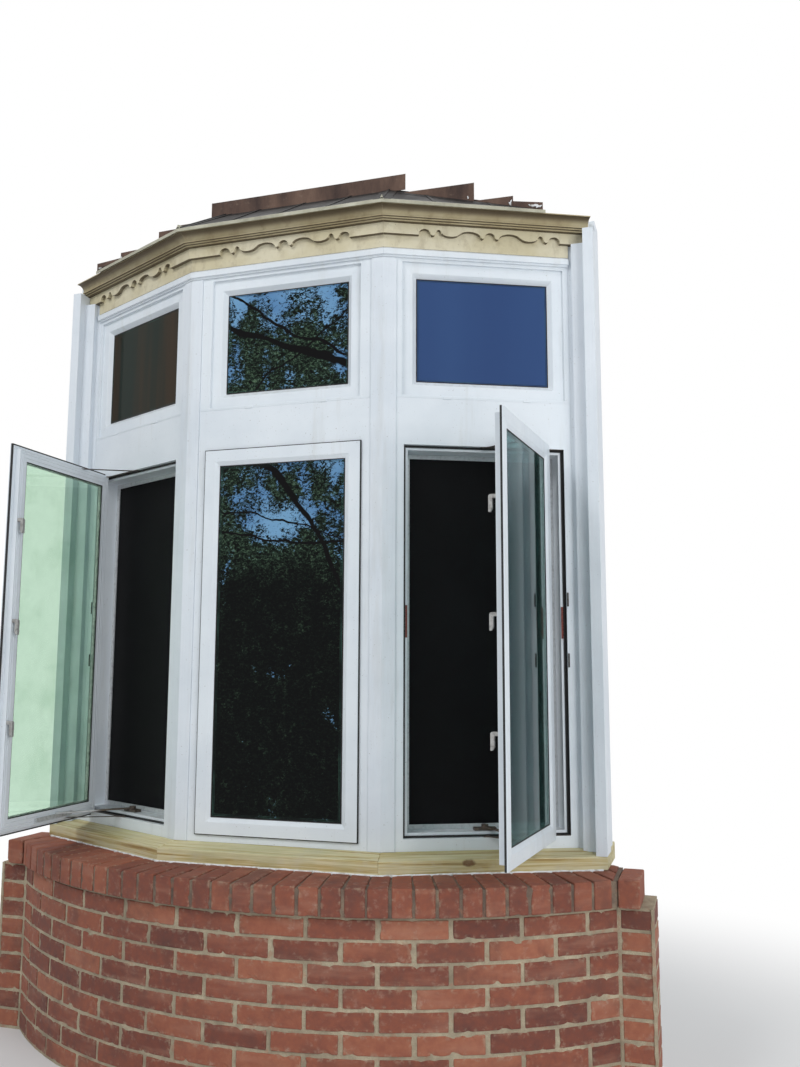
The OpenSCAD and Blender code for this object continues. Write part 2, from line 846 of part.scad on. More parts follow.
module in_front_of_wall(depth) {
    translate([-2 * centre_w, wall_y - depth, 0]) cube([4 * centre_w, depth, roof_high]);
}

module metal_roof() {
    color(metal_brown) intersection() {
        union() all_round(centre_w + side_w, -eave_v, side_w, eave_z, roof_high) roof_profile();
        in_front_of_wall(2 * brick_front);
    }
}

// Flashing: an apron on the roof and stepped leaves up the wall
apron_w = 45;
apex_run_on = 24;
apex_x = half_centre + apex_run_on;
step_lift = 24;
step_shares = [0, 0.5, 0.78, 0.97];
eave_end_x = half_centre + (bay_projection * cos(bay_angle) - eave_v) / sin(bay_angle);
function step_x(k) = apex_x + (eave_end_x - apex_x) * step_shares[k];

module flashing_apron() {
    intersection() {
        union() all_round(centre_w + side_w, -eave_v, side_w, eave_z, roof_high) roof_skin_profile();
        translate([-step_x(3), wall_y - apron_w, 0]) cube([2 * step_x(3), apron_w, roof_high]);
    }
}

module flashing_leaves() {
    translate([0, wall_y, 0]) rotate([90, 0, 0]) linear_extrude(flashing_t) difference() {
        union() {
            apex_z = roof_z(bay_projection) + flashing_h;
            translate([-apex_x, eave_z]) square([2 * apex_x, apex_z - eave_z]);
            for (side = [0, 1]) mirror([side, 0]) for (k = [0:2])
                translate([step_x(k), eave_z])
                square([step_x(k + 1) - step_x(k), wall_line_z(step_x(k)) + step_lift - eave_z]);
        }
        roof_line();
    }
}

// Outline of the roof's top where it meets the wall, down to the eaves
module roof_line() {
    hip_x = half_centre - bay_projection * mitre;
    far_x = eave_end_x + centre_w;
    polygon([
        [-far_x, wall_line_z(far_x)],
        [-hip_x, roof_z(bay_projection)],
        [hip_x, roof_z(bay_projection)],
        [far_x, wall_line_z(far_x)],
        [far_x, wall_line_z(far_x) - centre_w],
        [-far_x, wall_line_z(far_x) - centre_w]
    ]);
}

module step_flashing() {
    color(metal_brown) union() {
        flashing_apron();
        flashing_leaves();
    }
}

// Head beam over the windows, with its top cut to the roof and to the wall opening
module head_beam_profile() {
    polygon([
        [0, head_z],
        [frame_d, head_z],
        [frame_d, roof_z(frame_d) - roof_drop],
        [0, roof_z(0) - roof_drop]
    ]);
}

module head_beam() {
    color("#b9a888") intersection() {
        union() all_round(run_end, 0, frame_d, head_z, roof_high) head_beam_profile();
        union() {
            translate([-2 * centre_w, -centre_w, head_z]) cube([4 * centre_w, 4 * centre_w, eave_z - head_z]);
            in_front_of_wall(2 * brick_front);
        }
    }
}

// Inside boards, which fill the bay's plan behind the window frames
module inside_plan() {
    far_u = 2 * side_w;
    far_x = half_centre + far_u * cos(bay_angle) - frame_d * sin(bay_angle);
    far_y = face_y + far_u * sin(bay_angle) + frame_d * cos(bay_angle);
    fold_x = half_centre - frame_d * mitre;
    intersection() {
        polygon([[-far_x, far_y], [-fold_x, face_y + frame_d], [fold_x, face_y + frame_d], [far_x, far_y]]);
        translate([-far_x, face_y]) square([2 * far_x, return_back_y - face_y]);
    }
}

module window_board() {
    color("#dcd7c9") translate([0, 0, cap_top]) linear_extrude(window_board_t) inside_plan();
}

module bay_ceiling() {
    color("#dcd7c9") translate([0, 0, head_z]) linear_extrude(ceiling_t) inside_plan();
}

brick_base();
brick_sill_course();
backing_wall();
timber_sill_side(left);  // timber_sill_left
timber_sill_centre();
timber_sill_side(right);  // timber_sill_right
window_frame_side(left);  // window_frame_left
window_frame_centre();
window_frame_side(right);  // window_frame_right
corner_post(left);  // corner_post_left
corner_post(right);  // corner_post_right
jamb_casing(left);  // jamb_casing_left
jamb_casing(right);  // jamb_casing_right
transom_glass_side(left);  // transom_glass_left
transom_glass_centre();
transom_glass_side(right);  // transom_glass_right
at_side_sash(left, left_open_angle) sash();  // casement_sash_left
at_centre_sash() sash();  // casement_sash_centre
at_side_sash(right, right_open_angle) sash();  // casement_sash_right
at_side_sash(left, left_open_angle) sash_pane();  // casement_glass_left
at_centre_sash() sash_pane();  // casement_glass_centre
at_side_sash(right, right_open_angle) sash_pane();  // casement_glass_right
screen_frame(left);  // screen_frame_left
screen_frame(right);  // screen_frame_right
screen_mesh(left);  // screen_mesh_left
screen_mesh(right);  // screen_mesh_right
hinge_arms(left);  // hinge_arms_left
hinge_arms(right);  // hinge_arms_right
operator(left);  // operator_left
operator(right);  // operator_right
lock_keepers(left);  // lock_keepers_left
lock_keepers(right);  // lock_keepers_right
drip_strip();
frieze_board();
scalloped_trim_side(left);  // scalloped_trim_left
scalloped_trim_centre();
scalloped_trim_side(right);  // scalloped_trim_right
crown_side(left);  // crown_left
crown_centre();
crown_side(right);  // crown_right
head_beam();
metal_roof();
step_flashing();
window_board();
bay_ceiling();
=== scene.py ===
"""Looks of a bay window: bowed brick base, three window units, painted cornice and metal roof."""

import math
import random

import bmesh
import bpy
from mathutils import Matrix, Vector, geometry, noise


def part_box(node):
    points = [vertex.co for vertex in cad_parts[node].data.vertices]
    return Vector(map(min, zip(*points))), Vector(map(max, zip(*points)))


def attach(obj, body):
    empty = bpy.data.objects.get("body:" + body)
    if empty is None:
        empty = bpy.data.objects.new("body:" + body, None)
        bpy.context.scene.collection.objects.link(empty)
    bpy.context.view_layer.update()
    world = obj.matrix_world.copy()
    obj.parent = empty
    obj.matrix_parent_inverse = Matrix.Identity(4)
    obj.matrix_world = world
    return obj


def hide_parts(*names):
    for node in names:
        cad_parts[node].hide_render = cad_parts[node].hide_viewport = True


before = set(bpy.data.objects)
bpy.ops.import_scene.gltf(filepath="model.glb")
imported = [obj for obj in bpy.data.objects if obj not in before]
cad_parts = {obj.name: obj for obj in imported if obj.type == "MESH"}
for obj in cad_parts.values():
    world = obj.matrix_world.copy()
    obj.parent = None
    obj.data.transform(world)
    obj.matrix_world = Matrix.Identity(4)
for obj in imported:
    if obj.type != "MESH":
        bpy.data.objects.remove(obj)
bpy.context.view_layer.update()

# The noise that makes faces uneven starts from the clock if it isn't given a seed
noise.seed_set(1)

# Camera of the photograph
CAMERA_PLACE = Vector((1.4744, -3.0348, 1.3605))
CAMERA_YAW = math.radians(17.835)
CAMERA_PITCH = math.radians(7.695)
CAMERA_ROLL = math.radians(0.169)
CAMERA_LENS = 33.716
CAMERA_SENSOR = 36.0

# Strength of the even light from all round
WORLD_LIGHT = 0.44

# The three facets, and the two at the sides
SIDES = {-1: "left", 0: "centre", 1: "right"}
BOTH = (-1, 1)

# Sizes of the bay, in metres
BAY_ANGLE = math.radians(26)
BAY_COS = math.cos(BAY_ANGLE)
BAY_SIN = math.sin(BAY_ANGLE)
MITRE = math.tan(BAY_ANGLE / 2)
BOARD_W = 0.046
SIDE_JAMB_W = 0.0145
SASH_BAR_W = 0.057
FLANGE_T = 0.003
OPENING_INSET = 0.0135
SHOULDER_INSET = 0.005
SASH_GLAZING_BACK = 0.008
GLAZING_BACK = 0.016
GLAZING_T = 0.018
BAND_D = 0.010
BAND_W = 0.054
# How far the black strip round the centre sash reaches past it, as a painted shadow line
SHADOW_LINE_OUT = 0.0032
SILL_OUT = 0.086
HINGE_SLIDE = 0.064
HINGE_V = 0.005
OPEN_ANGLES = {-1: math.radians(62), 1: math.radians(60)}

# Places that the frame gives
frame_low, frame_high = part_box("window_frame_centre")
sash_low, sash_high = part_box("casement_sash_centre")
pane_low, pane_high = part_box("transom_glass_centre")
FACE_Y = frame_low.y
HALF_CENTRE = frame_high.x + BOARD_W
SASH_W = sash_high.x - sash_low.x
SASH_H = sash_high.z - sash_low.z
SASH_Z = sash_low.z
SASH_PROUD = FACE_Y - sash_low.y
SASH_T = sash_high.y - sash_low.y
GLAZING_LAP = 0.012
TRANSOM_W = pane_high.x - pane_low.x - 2 * GLAZING_LAP
TRANSOM_LOW = pane_low.z + GLAZING_LAP
TRANSOM_HIGH = pane_high.z - GLAZING_LAP
SIDE_W = BOARD_W + 2 * SIDE_JAMB_W + SASH_W
SIDE_MID_U = BOARD_W + SIDE_JAMB_W + SASH_W / 2
MID_U = {-1: SIDE_MID_U, 0: 0, 1: SIDE_MID_U}
SASH_GLAZING_END = SASH_GLAZING_BACK + GLAZING_T
PANE_SEAT = BAND_D + GLAZING_BACK
STOP_V = SASH_T - SASH_PROUD

# Roof: its slope, and depth and height of its lower edge and of its top at the house wall
roof_low, roof_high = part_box("metal_roof")
ROOF_SLOPE = math.tan(math.radians(32))
EAVE_V = roof_low.y - FACE_Y
EAVE_Z = roof_high.z - (roof_high.y - roof_low.y) * ROOF_SLOPE
WALL_V = roof_high.y - FACE_Y
APEX_Z = roof_high.z
FLASHING_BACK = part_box("step_flashing")[1].y

# Brickwork, with real brick and joint sizes
BRICK_T = 0.200
BRICK_L = 0.210
BRICK_H = 0.057
BED = 0.010
COURSES = 9
RETURN_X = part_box("brick_base")[1].x
RETURN_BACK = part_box("brick_base")[1].y
WALL_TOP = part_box("brick_base")[1].z
WALL_Y = RETURN_BACK - BRICK_T
CAP_END_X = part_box("brick_sill_course")[1].x
CAP_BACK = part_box("brick_sill_course")[1].y
CAP_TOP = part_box("brick_sill_course")[1].z
COURSE_H = (WALL_TOP - BED) / COURSES
BRICK_FRONT = 0.267
CAP_RETURN_W = 0.072
CAP_DEPTH = 0.203
CAP_OUT = 0.020
CAP_FALL = 0.007
BOW_X = CAP_END_X - CAP_RETURN_W
BOW_FRONT = FACE_Y - BRICK_FRONT
BOW_RISE = WALL_Y - BOW_FRONT
BOW_R = (BOW_X ** 2 + BOW_RISE ** 2) / (2 * BOW_RISE)
BOW_Y = BOW_FRONT + BOW_R
BOW_IN_R = BOW_R - BRICK_T
BOW_END = math.asin(BOW_X / BOW_R)
BOW_PITCH = 2 * BOW_END / 11
CAP_R = BOW_R + CAP_OUT
CAP_IN_R = CAP_R - CAP_DEPTH
CAP_SLOPE_R = CAP_IN_R + CAP_DEPTH / 3
CAP_PITCH = math.radians(2.465)
CAP_PHASE = math.radians(0.71)
CAP_FAN_X = 1.1125
CAP_MORTAR_X = 1.1255
CAP_LEVEL_X = 1.127
CAP_CUT_ANGLE = math.radians(36)
CAP_MORTAR_ANGLE = math.radians(47)

# The two bricks of a return in each course: their sides, front and back
RETURN_BRICKS = (
    (1.1315, RETURN_X - 0.0025, WALL_Y, RETURN_BACK),
    (1.050, 1.122, WALL_Y + 0.104, RETURN_BACK),
)

# Heights of the small fittings on the jambs of the open sides
STRIKE_Z = (1.465, 1.575)
BRACKETS_Z = (1.39, 1.60)
CLIPS_Z = (1.00, 1.14, 1.80)

# Knot in the right timber: middle and half size along two axes
KNOT = (("X", 0.667, 0.021), ("Z", 0.739, 0.012))

# Painted reflections of boughs across the central panes: height in the middle, slope, bend and half
# width
LOW_REFLECTED_BOUGHS = ((2.023, -0.952, -3.13, 0.014), (1.80, -0.16, 0.4, 0.004), (1.89, -0.30, -0.5, 0.003))
HIGH_REFLECTED_BOUGHS = ((2.53, -0.38, 0.0, 0.011), (2.60, -0.62, 0.3, 0.005), (2.46, 0.7, 0.0, 0.004))

# Sealant on the flashing: place across, lift, size and turn of each lump
LUMPS = (
    (0.894, 0.011, 0.0075, 0), (0.908, 0.009, 0.0060, 0), (0.804, 0.006, 0.0045, 75),
    (0.807, 0.014, 0.0040, 100), (0.648, 0.010, 0.0040, 80), (-0.812, 0.008, 0.0045, 95),
    (-0.912, 0.006, 0.0045, 0), (0.876, 0.010, 0.0035, 40),
)


# Mesh building

def facet_point(side, u, v, z):
    """Place of a point of a facet: u along it from the fold, or from the middle in the centre."""
    if side == 0:
        return Vector((u, FACE_Y + v, z))
    x = HALF_CENTRE + u * BAY_COS - v * BAY_SIN
    y = FACE_Y + u * BAY_SIN + v * BAY_COS
    return Vector((side * x, y, z))


def fold_point(side, v, z):
    """Place of a point over a fold, v behind the facets."""
    return Vector((side * (HALF_CENTRE - v * MITRE), FACE_Y + v, z))


def bow_point(theta, radius, z=0):
    """Place of a point at an angle and a distance from the bow's middle line."""
    return Vector((radius * math.sin(theta), BOW_Y - radius * math.cos(theta), z))


def up(height):
    """An upright step."""
    return Vector((0, 0, height))


def sash_point(side, s, t, z):
    """Place of a point of a sash: s across it, t from its outer face into it."""
    if side == 0:
        return facet_point(0, s - SASH_W / 2, t - SASH_PROUD, SASH_Z + z)
    angle = OPEN_ANGLES[side]
    hinge_u = SIDE_MID_U + SASH_W / 2 - HINGE_SLIDE
    u = hinge_u - s * math.cos(angle) - t * math.sin(angle)
    v = HINGE_V - s * math.sin(angle) + t * math.cos(angle)
    return facet_point(side, u, v, SASH_Z + z)


class Builder:
    """Points and faces of one piece, with a tone and a rim value at each point."""

    def __init__(self):
        self.points = []
        self.faces = []
        self.tones = []
        self.rims = []

    def add(self, points, faces, tone=0.5, rims=None):
        start = len(self.points)
        self.points.extend(points)
        self.faces.extend([start + n for n in face] for face in faces)
        self.tones.extend([tone] * len(points))
        self.rims.extend(rims or [1.0] * len(points))

    def piece(self, name, material, replaced=(), smooth=False):
        mesh = bpy.data.meshes.new(name)
        mesh.from_pydata([tuple(p) for p in self.points], [], self.faces)
        for label, values in (("tone", self.tones), ("rim", self.rims)):
            layer = mesh.attributes.new(label, "FLOAT", "POINT")
            layer.data.foreach_set("value", values)
        mesh.validate()
        turned = bmesh.new()
        turned.from_mesh(mesh)
        bmesh.ops.recalc_face_normals(turned, faces=turned.faces[:])
        turned.to_mesh(mesh)
        turned.free()
        mesh.materials.append(material)
        if smooth:
            mesh.shade_smooth()
        made = bpy.data.objects.new(name, mesh)
        bpy.context.scene.collection.objects.link(made)
        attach(made, "root")
        if replaced:
            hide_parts(*replaced)


def ticks(length, radius, count):
    """Places of the mesh lines along one axis: close at the arrises, even between them."""
    half = length / 2
    inner = half - radius
    arris = 0.4 * radius
    even = [-inner + 2 * inner * n / count for n in range(count + 1)]
    return [-half, -half + arris] + even + [half - arris, half]


def rounded(point, half, radius):
    """Moves a point of a box onto the same box with round arrises."""
    inner = Vector([max(radius - h, min(h - radius, p)) for p, h in zip(point, half)])
    out = point - inner
    return inner + out.normalized() * radius if out.length > 0 else point


def block_surface(size, radius, steps):
    """Points and faces of a closed block with round arrises, centred on the origin."""
    half = [length / 2 for length in size]
    lines = [ticks(length, radius, count) for length, count in zip(size, steps)]
    last = [len(line) - 1 for line in lines]
    index = {}
    points = []

    def corner(key):
        if key not in index:
            index[key] = len(points)
            raw = Vector([lines[axis][key[axis]] for axis in range(3)])
            points.append(rounded(raw, half, radius))
        return index[key]

    faces = []
    for axis in range(3):
        a, b = (axis + 1) % 3, (axis + 2) % 3
        for end in (0, last[axis]):
            for m in range(last[a]):
                for n in range(last[b]):
                    cell = []
                    for dm, dn in ((0, 0), (1, 0), (1, 1), (0, 1)):
                        key = [0, 0, 0]
                        key[axis], key[a], key[b] = end, m + dm, n + dn
                        cell.append(corner(tuple(key)))
                    faces.append(cell if end else cell[::-1])
    return points, faces


def worn_block(size, radius, steps, seed, wear=1.0):
    """A brick with uneven faces and chipped arrises, and how far each point lies from an arris."""
    points, faces = block_surface(size, radius, steps)
    shift = Vector((seed * 7.31, seed * 3.17, seed * 5.73))
    half = [length / 2 for length in size]
    worn = []
    rims = []
    for point in points:
        depths = [h - abs(p) for h, p in zip(half, point)]
        near = [depth < 1.8 * radius for depth in depths]
        moved = point + noise.noise_vector(point * 13 + shift) * 0.0008 * wear
        moved += noise.noise_vector(point * 75 + shift) * 0.0003 * wear
        if sum(near) > 1:
            bite = max(0.0, noise.noise(point * 34 + shift) - 0.30)
            chip = min(0.0040, 0.018 * bite) * wear
            inward = Vector([-math.copysign(1, p) if n else 0 for p, n in zip(point, near)])
            moved += inward.normalized() * chip
        worn.append(moved)
        across = sorted(depths)[1]
        rims.append(max(0.0, min(1.0, across / 0.009)))
    return worn, faces, rims


def clipped(points, faces, planes):
    """The closed part of a mesh that lies behind some planes."""
    cut_mesh = bmesh.new()
    corners = [cut_mesh.verts.new(point) for point in points]
    for face in faces:
        cut_mesh.faces.new([corners[n] for n in face])
    for origin, normal in planes:
        whole = cut_mesh.verts[:] + cut_mesh.edges[:] + cut_mesh.faces[:]
        bmesh.ops.bisect_plane(
            cut_mesh, geom=whole, plane_co=origin, plane_no=normal, clear_outer=True
        )
        rim = [edge for edge in cut_mesh.edges if edge.is_boundary]
        if rim:
            bmesh.ops.holes_fill(cut_mesh, edges=rim, sides=0)
    cut_mesh.verts.index_update()
    left_points = [vert.co.copy() for vert in cut_mesh.verts]
    left_faces = [[vert.index for vert in face.verts] for face in cut_mesh.faces]
    cut_mesh.free()
    return left_points, left_faces


def facet_place(side):
    return lambda u, v, z: facet_point(side, u, v, z)


def leaf_place(side):
    return lambda s, t, z: sash_point(side, s, t, z)


def add_ring(build, place, low, high, width, front, back, tone=0.5):
    """A mitred rectangular ring in the plane of a facet or a sash, between two depths."""
    points = []
    for depth in (front, back):
        for inset in (0.0, width):
            a0, a1 = low[0] + inset, high[0] - inset
            z0, z1 = low[1] + inset, high[1] - inset
            for a, z in ((a0, z0), (a1, z0), (a1, z1), (a0, z1)):
                points.append(place(a, depth, z))
    faces = []
    for n in range(4):
        m = (n + 1) % 4
        faces.append([n, m, 4 + m, 4 + n])
        faces.append([8 + n, 12 + n, 12 + m, 8 + m])
        faces.append([n, 8 + n, 8 + m, m])
        faces.append([4 + n, 4 + m, 12 + m, 12 + n])
    build.add(points, faces, tone)


def add_slab(build, place, low, high, front, back, tone=0.5):
    """A flat bar in the plane of a facet or a sash, between two corners and two depths."""
    outline = ((low[0], low[1]), (high[0], low[1]), (high[0], high[1]), (low[0], high[1]))
    corners = [place(a, back, z) for a, z in outline]
    add_prism(build, corners, place(low[0], front, low[1]) - corners[0], tone)


def sash_ring(build, side, inset, width, front, back):
    """A ring in a sash, evenly inside its edges."""
    low, high = (inset, inset), (SASH_W - inset, SASH_H - inset)
    add_ring(build, leaf_place(side), low, high, width, front, back)


def pane_ring(build, side, inset, width, front, back):
    """A ring in a facet, evenly inside the edges of the transom pane."""
    half = TRANSOM_W / 2 - inset
    low, high = (MID_U[side] - half, TRANSOM_LOW + inset), (MID_U[side] + half, TRANSOM_HIGH - inset)
    add_ring(build, facet_place(side), low, high, width, front, back)


def add_prism(build, corners, lift, tone=0.5):
    """A closed prism on a flat polygon of world points, raised by a vector."""
    count = len(corners)
    points = list(corners) + [corner + lift for corner in corners]
    faces = [list(range(count))[::-1], [count + n for n in range(count)]]
    for n in range(count):
        m = (n + 1) % count
        faces.append([n, m, count + m, count + n])
    build.add(points, faces, tone)


def add_sweep(build, sections, tone=0.5, closed=False):
    """A closed skin through a row of sections with equal numbers of points."""
    count = len(sections[0])
    points = [point for section in sections for point in section]
    faces = []
    rows = len(sections)
    for row in range(rows if closed else rows - 1):
        this, after = row * count, ((row + 1) % rows) * count
        for n in range(count):
            m = (n + 1) % count
            faces.append([this + n, this + m, after + m, after + n])
    if not closed:
        faces.append(list(range(count))[::-1])
        faces.append([(rows - 1) * count + n for n in range(count)])
    build.add(points, faces, tone)


# Node materials

def linear(colour):
    """Linear colour of three 8-bit sRGB numbers; anything else stays as it is."""
    if not isinstance(colour, tuple) or len(colour) > 3:
        return colour
    shares = [value / 255 for value in colour]
    return (*[s / 12.92 if s <= 0.04045 else ((s + 0.055) / 1.055) ** 2.4 for s in shares], 1.0)


class Tree:
    """A node tree built by short calls."""

    def __init__(self, owner, kind):
        owner.use_nodes = True
        self.nodes = owner.node_tree.nodes
        self.links = owner.node_tree.links
        self.nodes.clear()
        self.output = self.nodes.new("ShaderNodeOutput" + kind)

    def feed(self, socket, value):
        if isinstance(value, bpy.types.NodeSocket):
            self.links.new(value, socket)
        else:
            socket.default_value = value

    def node(self, kind, fed=(), **settings):
        """Outputs of a new node with some settings, fed through numbered or named sockets."""
        made = self.nodes.new("ShaderNode" + kind)
        for name, value in settings.items():
            setattr(made, name, value)
        for socket, value in dict(fed).items():
            self.feed(made.inputs[socket], value)
        return made.outputs

    def math(self, operation, first, second=0.0):
        return self.node("Math", {0: first, 1: second}, operation=operation)[0]

    def seen(self):
        """One where the camera, gloss or clear glass looks, and zero elsewhere."""
        rays = self.node("LightPath")
        seen = self.math("MAXIMUM", rays["Is Camera Ray"], rays["Is Glossy Ray"])
        return self.math("MAXIMUM", seen, rays["Is Transmission Ray"])

    def join(self, share, first, second):
        """Shows a mix of two shaders."""
        mixed = self.node("MixShader", {0: share, 1: first, 2: second})
        self.links.new(mixed[0], self.output.inputs["Surface"])


class Shader(Tree):
    """One node material round a Principled shader. A colour of three numbers is 8-bit sRGB."""

    def __init__(self, name, loose=False):
        self.material = bpy.data.materials.new(name)
        super().__init__(self.material, "Material")
        self.skin = self.nodes.new("ShaderNodeBsdfPrincipled")
        self.links.new(self.skin.outputs["BSDF"], self.output.inputs["Surface"])
        self.place = self.node("TexCoord")["Object"]
        self.normal = None
        if loose:
            away = self.math("MULTIPLY", self.attribute("tone"), 9)
            self.place = self.vector("ADD", self.place, away)["Vector"]

    def set(self, **values):
        for name, value in values.items():
            self.feed(self.skin.inputs[name.replace("_", " ")], value)

    def stretched(self, sizes, turn=0.0):
        fed = {"Vector": self.place, "Rotation": (0, 0, turn), "Scale": sizes}
        return self.node("Mapping", fed, vector_type="TEXTURE")[0]

    def noise(self, scale, detail=3.0, rough=0.5, at=None, bend=0.0):
        fed = {"Vector": at or self.place, "Scale": scale, "Detail": detail}
        fed |= {"Roughness": rough, "Distortion": bend}
        return self.node("TexNoise", fed)[0]

    def band(self, value, low, high, least=0.0, most=1.0):
        fed = enumerate((value, low, high, least, most))
        return self.node("MapRange", fed, interpolation_type="SMOOTHSTEP")[0]

    def ramp(self, value, *stops):
        node = self.nodes.new("ShaderNodeValToRGB")
        self.links.new(value, node.inputs[0])
        elements = node.color_ramp.elements
        while len(elements) < len(stops):
            elements.new(0.5)
        for element, (position, colour) in zip(elements, stops):
            element.position = position
            element.color = linear(colour)
        return node.outputs[0]

    def mix(self, share, first, second):
        fed = {0: share, 6: linear(first), 7: linear(second)}
        return self.node("Mix", fed, data_type="RGBA")[2]

    def stain(self, base, colour, value, low, high, most=1.0):
        """A colour laid over another where a value passes from low to high."""
        return self.mix(self.band(value, low, high, 0, most), base, colour)

    def sheen(self, value, low, high):
        """Roughness that follows a noise."""
        return self.band(value, 0.3, 0.7, low, high)

    def weigh(self, *pairs):
        """Sum of values, each times its weight."""
        total, *others = [self.math("MULTIPLY", value, weight) for value, weight in pairs]
        for other in others:
            total = self.math("ADD", total, other)
        return total

    def vector(self, operation, first, second):
        return self.node("VectorMath", {0: first, 1: second}, operation=operation)

    def attribute(self, name):
        return self.node("Attribute", attribute_name=name)["Fac"]

    def axis(self, name, of=None):
        return self.node("SeparateXYZ", {0: of or self.place})[name]

    def facing(self, name):
        """Part of the surface's own direction along an axis."""
        return self.axis(name, self.node("NewGeometry")["Normal"])

    def bump(self, height, depth):
        fed = {"Strength": 1.0, "Distance": depth, "Height": height}
        if self.normal:
            fed["Normal"] = self.normal
        self.normal = self.node("Bump", fed)[0]
        self.feed(self.skin.inputs["Normal"], self.normal)


def plain_finish(name, wear, span, clean, worn, sheen):
    """A shader whose colour and roughness follow one noise, and that noise."""
    s = Shader(name)
    noise_out = s.noise(*wear)
    s.set(Base_Color=s.stain(clean, worn, noise_out, *span))
    s.set(Roughness=s.sheen(noise_out, *sheen))
    return s, noise_out


def brick_material():
    """Fired brick: a tone for each brick, mottling, drag marks, lime bloom and mortar smears."""
    s = Shader("brick", loose=True)
    mottle = s.noise(38, 5, 0.62)
    drag = s.noise(16, 4, 0.6, s.stretched((5, 5, 1)))
    fired = s.weigh((s.attribute("tone"), 0.46), (mottle, 0.54))
    stops = (0.18, (98, 60, 53)), (0.42, (128, 76, 62)), (0.60, (146, 88, 69)), (0.82, (166, 108, 84))
    body = s.ramp(fired, *stops)
    streaked = s.stain(body, (174, 130, 110), drag, 0.48, 0.74, 0.35)
    soot = s.stain(streaked, (84, 62, 58), s.noise(7, 4, 0.6), 0.48, 0.72, 0.45)
    bloom = s.band(s.noise(23, 6, 0.7), 0.57, 0.74, 0, 0.32)
    pale = s.mix(bloom, soot, (184, 164, 148))
    near_edge = s.math("SUBTRACT", 1.0, s.attribute("rim"))
    smear = s.math("MULTIPLY", near_edge, s.band(s.noise(60, 4, 0.6), 0.50, 0.66))
    s.set(Base_Color=s.mix(s.math("MULTIPLY", smear, 0.6), pale, (172, 156, 134)))
    s.set(Roughness=s.sheen(mottle, 0.78, 0.95))
    s.bump(drag, 0.0012)
    s.bump(s.noise(330, 3, 0.6), 0.0006)
    return s.material


def mortar_material(name, dark, middle, pale):
    """Sandy lime mortar, weathered darker in patches."""
    s = Shader(name)
    patch = s.noise(11, 5, 0.65)
    sand = s.noise(420, 2, 0.6)
    body = s.ramp(patch, (0.3, dark), (0.48, middle), (0.66, pale))
    grainy = s.stain(body, dark, sand, 0.35, 0.7, 0.5)
    rusty = s.stain(grainy, (166, 112, 88), s.noise(34, 3), 0.56, 0.7, 0.35)
    s.set(Base_Color=rusty, Roughness=0.93)
    s.bump(s.noise(60, 4, 0.7), 0.0012)
    s.bump(sand, 0.0009)
    return s.material


def timber_material(side):
    """Treated softwood: grain along the facet, green and yellow bands, dirt and one knot."""
    s = Shader("timber_" + SIDES[side])
    turn = side * BAY_ANGLE
    grain = s.noise(64, 4, 0.6, s.stretched((34, 1, 1), turn), 0.5)
    fibre = s.noise(330, 3, 0.6, s.stretched((40, 1, 1), turn))
    body = s.ramp(
        grain, (0.36, (152, 124, 72)), (0.44, (194, 176, 122)),
        (0.54, (217, 209, 172)), (0.68, (202, 193, 150)),
    )
    green = s.stain(body, (168, 172, 132), s.noise(4.5, 3), 0.42, 0.66, 0.4)
    fine = s.stain(green, (140, 122, 78), fibre, 0.45, 0.75, 0.35)
    parts = []
    for axis, middle, half in KNOT:
        off = s.math("DIVIDE", s.math("SUBTRACT", s.axis(axis), middle), half)
        parts.append(s.math("MULTIPLY", off, off))
    around = s.math("ADD", *parts)
    uneven = s.math("ADD", around, s.math("MULTIPLY", s.noise(70, 3), 1.2))
    spot = s.band(uneven, 0.9, 1.9, 0.85, 0)
    knotted = s.mix(spot, fine, (98, 66, 40))
    dusty = s.stain(knotted, (196, 190, 168), s.noise(14, 5, 0.65), 0.5, 0.72, 0.4)
    s.set(Base_Color=dusty, Roughness=s.sheen(grain, 0.58, 0.74))
    s.bump(grain, 0.0009)
    s.bump(fibre, 0.0005)
    return s.material


def white_shader(name, red, green, blue):
    """White finish with faint clouding, rain dust on ledges and specks."""
    s = Shader(name)
    cloud = s.noise(3.2, 4, 0.6)
    body = s.stain((red, green, blue), (red - 9, green - 8, blue - 7), cloud, 0.35, 0.68)
    run = s.noise(15, 4, 0.65, s.stretched((1, 1, 9)))
    dusty = s.stain(body, (186, 186, 180), run, 0.54, 0.74, 0.22)
    patches = s.band(s.noise(48, 4, 0.65), 0.36, 0.66)
    ledge = s.math("MULTIPLY", s.band(s.facing("Z"), 0.4, 0.9), patches)
    settled = s.mix(s.math("MULTIPLY", ledge, 0.35), dusty, (168, 164, 152))
    speck = s.band(s.noise(170, 2, 0.5), 0.7, 0.76, 0, 0.45)
    return s, s.mix(speck, settled, (120, 112, 98))


def vinyl_material():
    """Extruded white vinyl of the frames and sashes."""
    # The white's slight blue is partly the vinyl's own and partly a painted tint of bluish shade
    s, colour = white_shader("white_vinyl", 224, 231, 237)
    s.set(Base_Color=colour, Roughness=s.sheen(s.noise(26, 3), 0.3, 0.46))
    s.set(Specular_IOR_Level=0.45)
    s.bump(s.noise(9, 2), 0.0006)
    s.bump(s.noise(520, 2), 0.00012)
    return s.material


def board_material():
    """Painted boards over the folds and beside the wall, with upright brush marks."""
    # The white's slight blue is partly the paint's own and partly a painted tint of bluish shade
    s, colour = white_shader("painted_board", 221, 228, 235)
    brush = s.noise(190, 3, 0.6, s.stretched((1, 1, 26)))
    s.set(Base_Color=s.stain(colour, (190, 194, 198), brush, 0.5, 0.8, 0.16))
    s.set(Roughness=s.sheen(brush, 0.42, 0.6))
    s.bump(brush, 0.0004)
    s.bump(s.noise(14, 3), 0.0009)
    return s.material


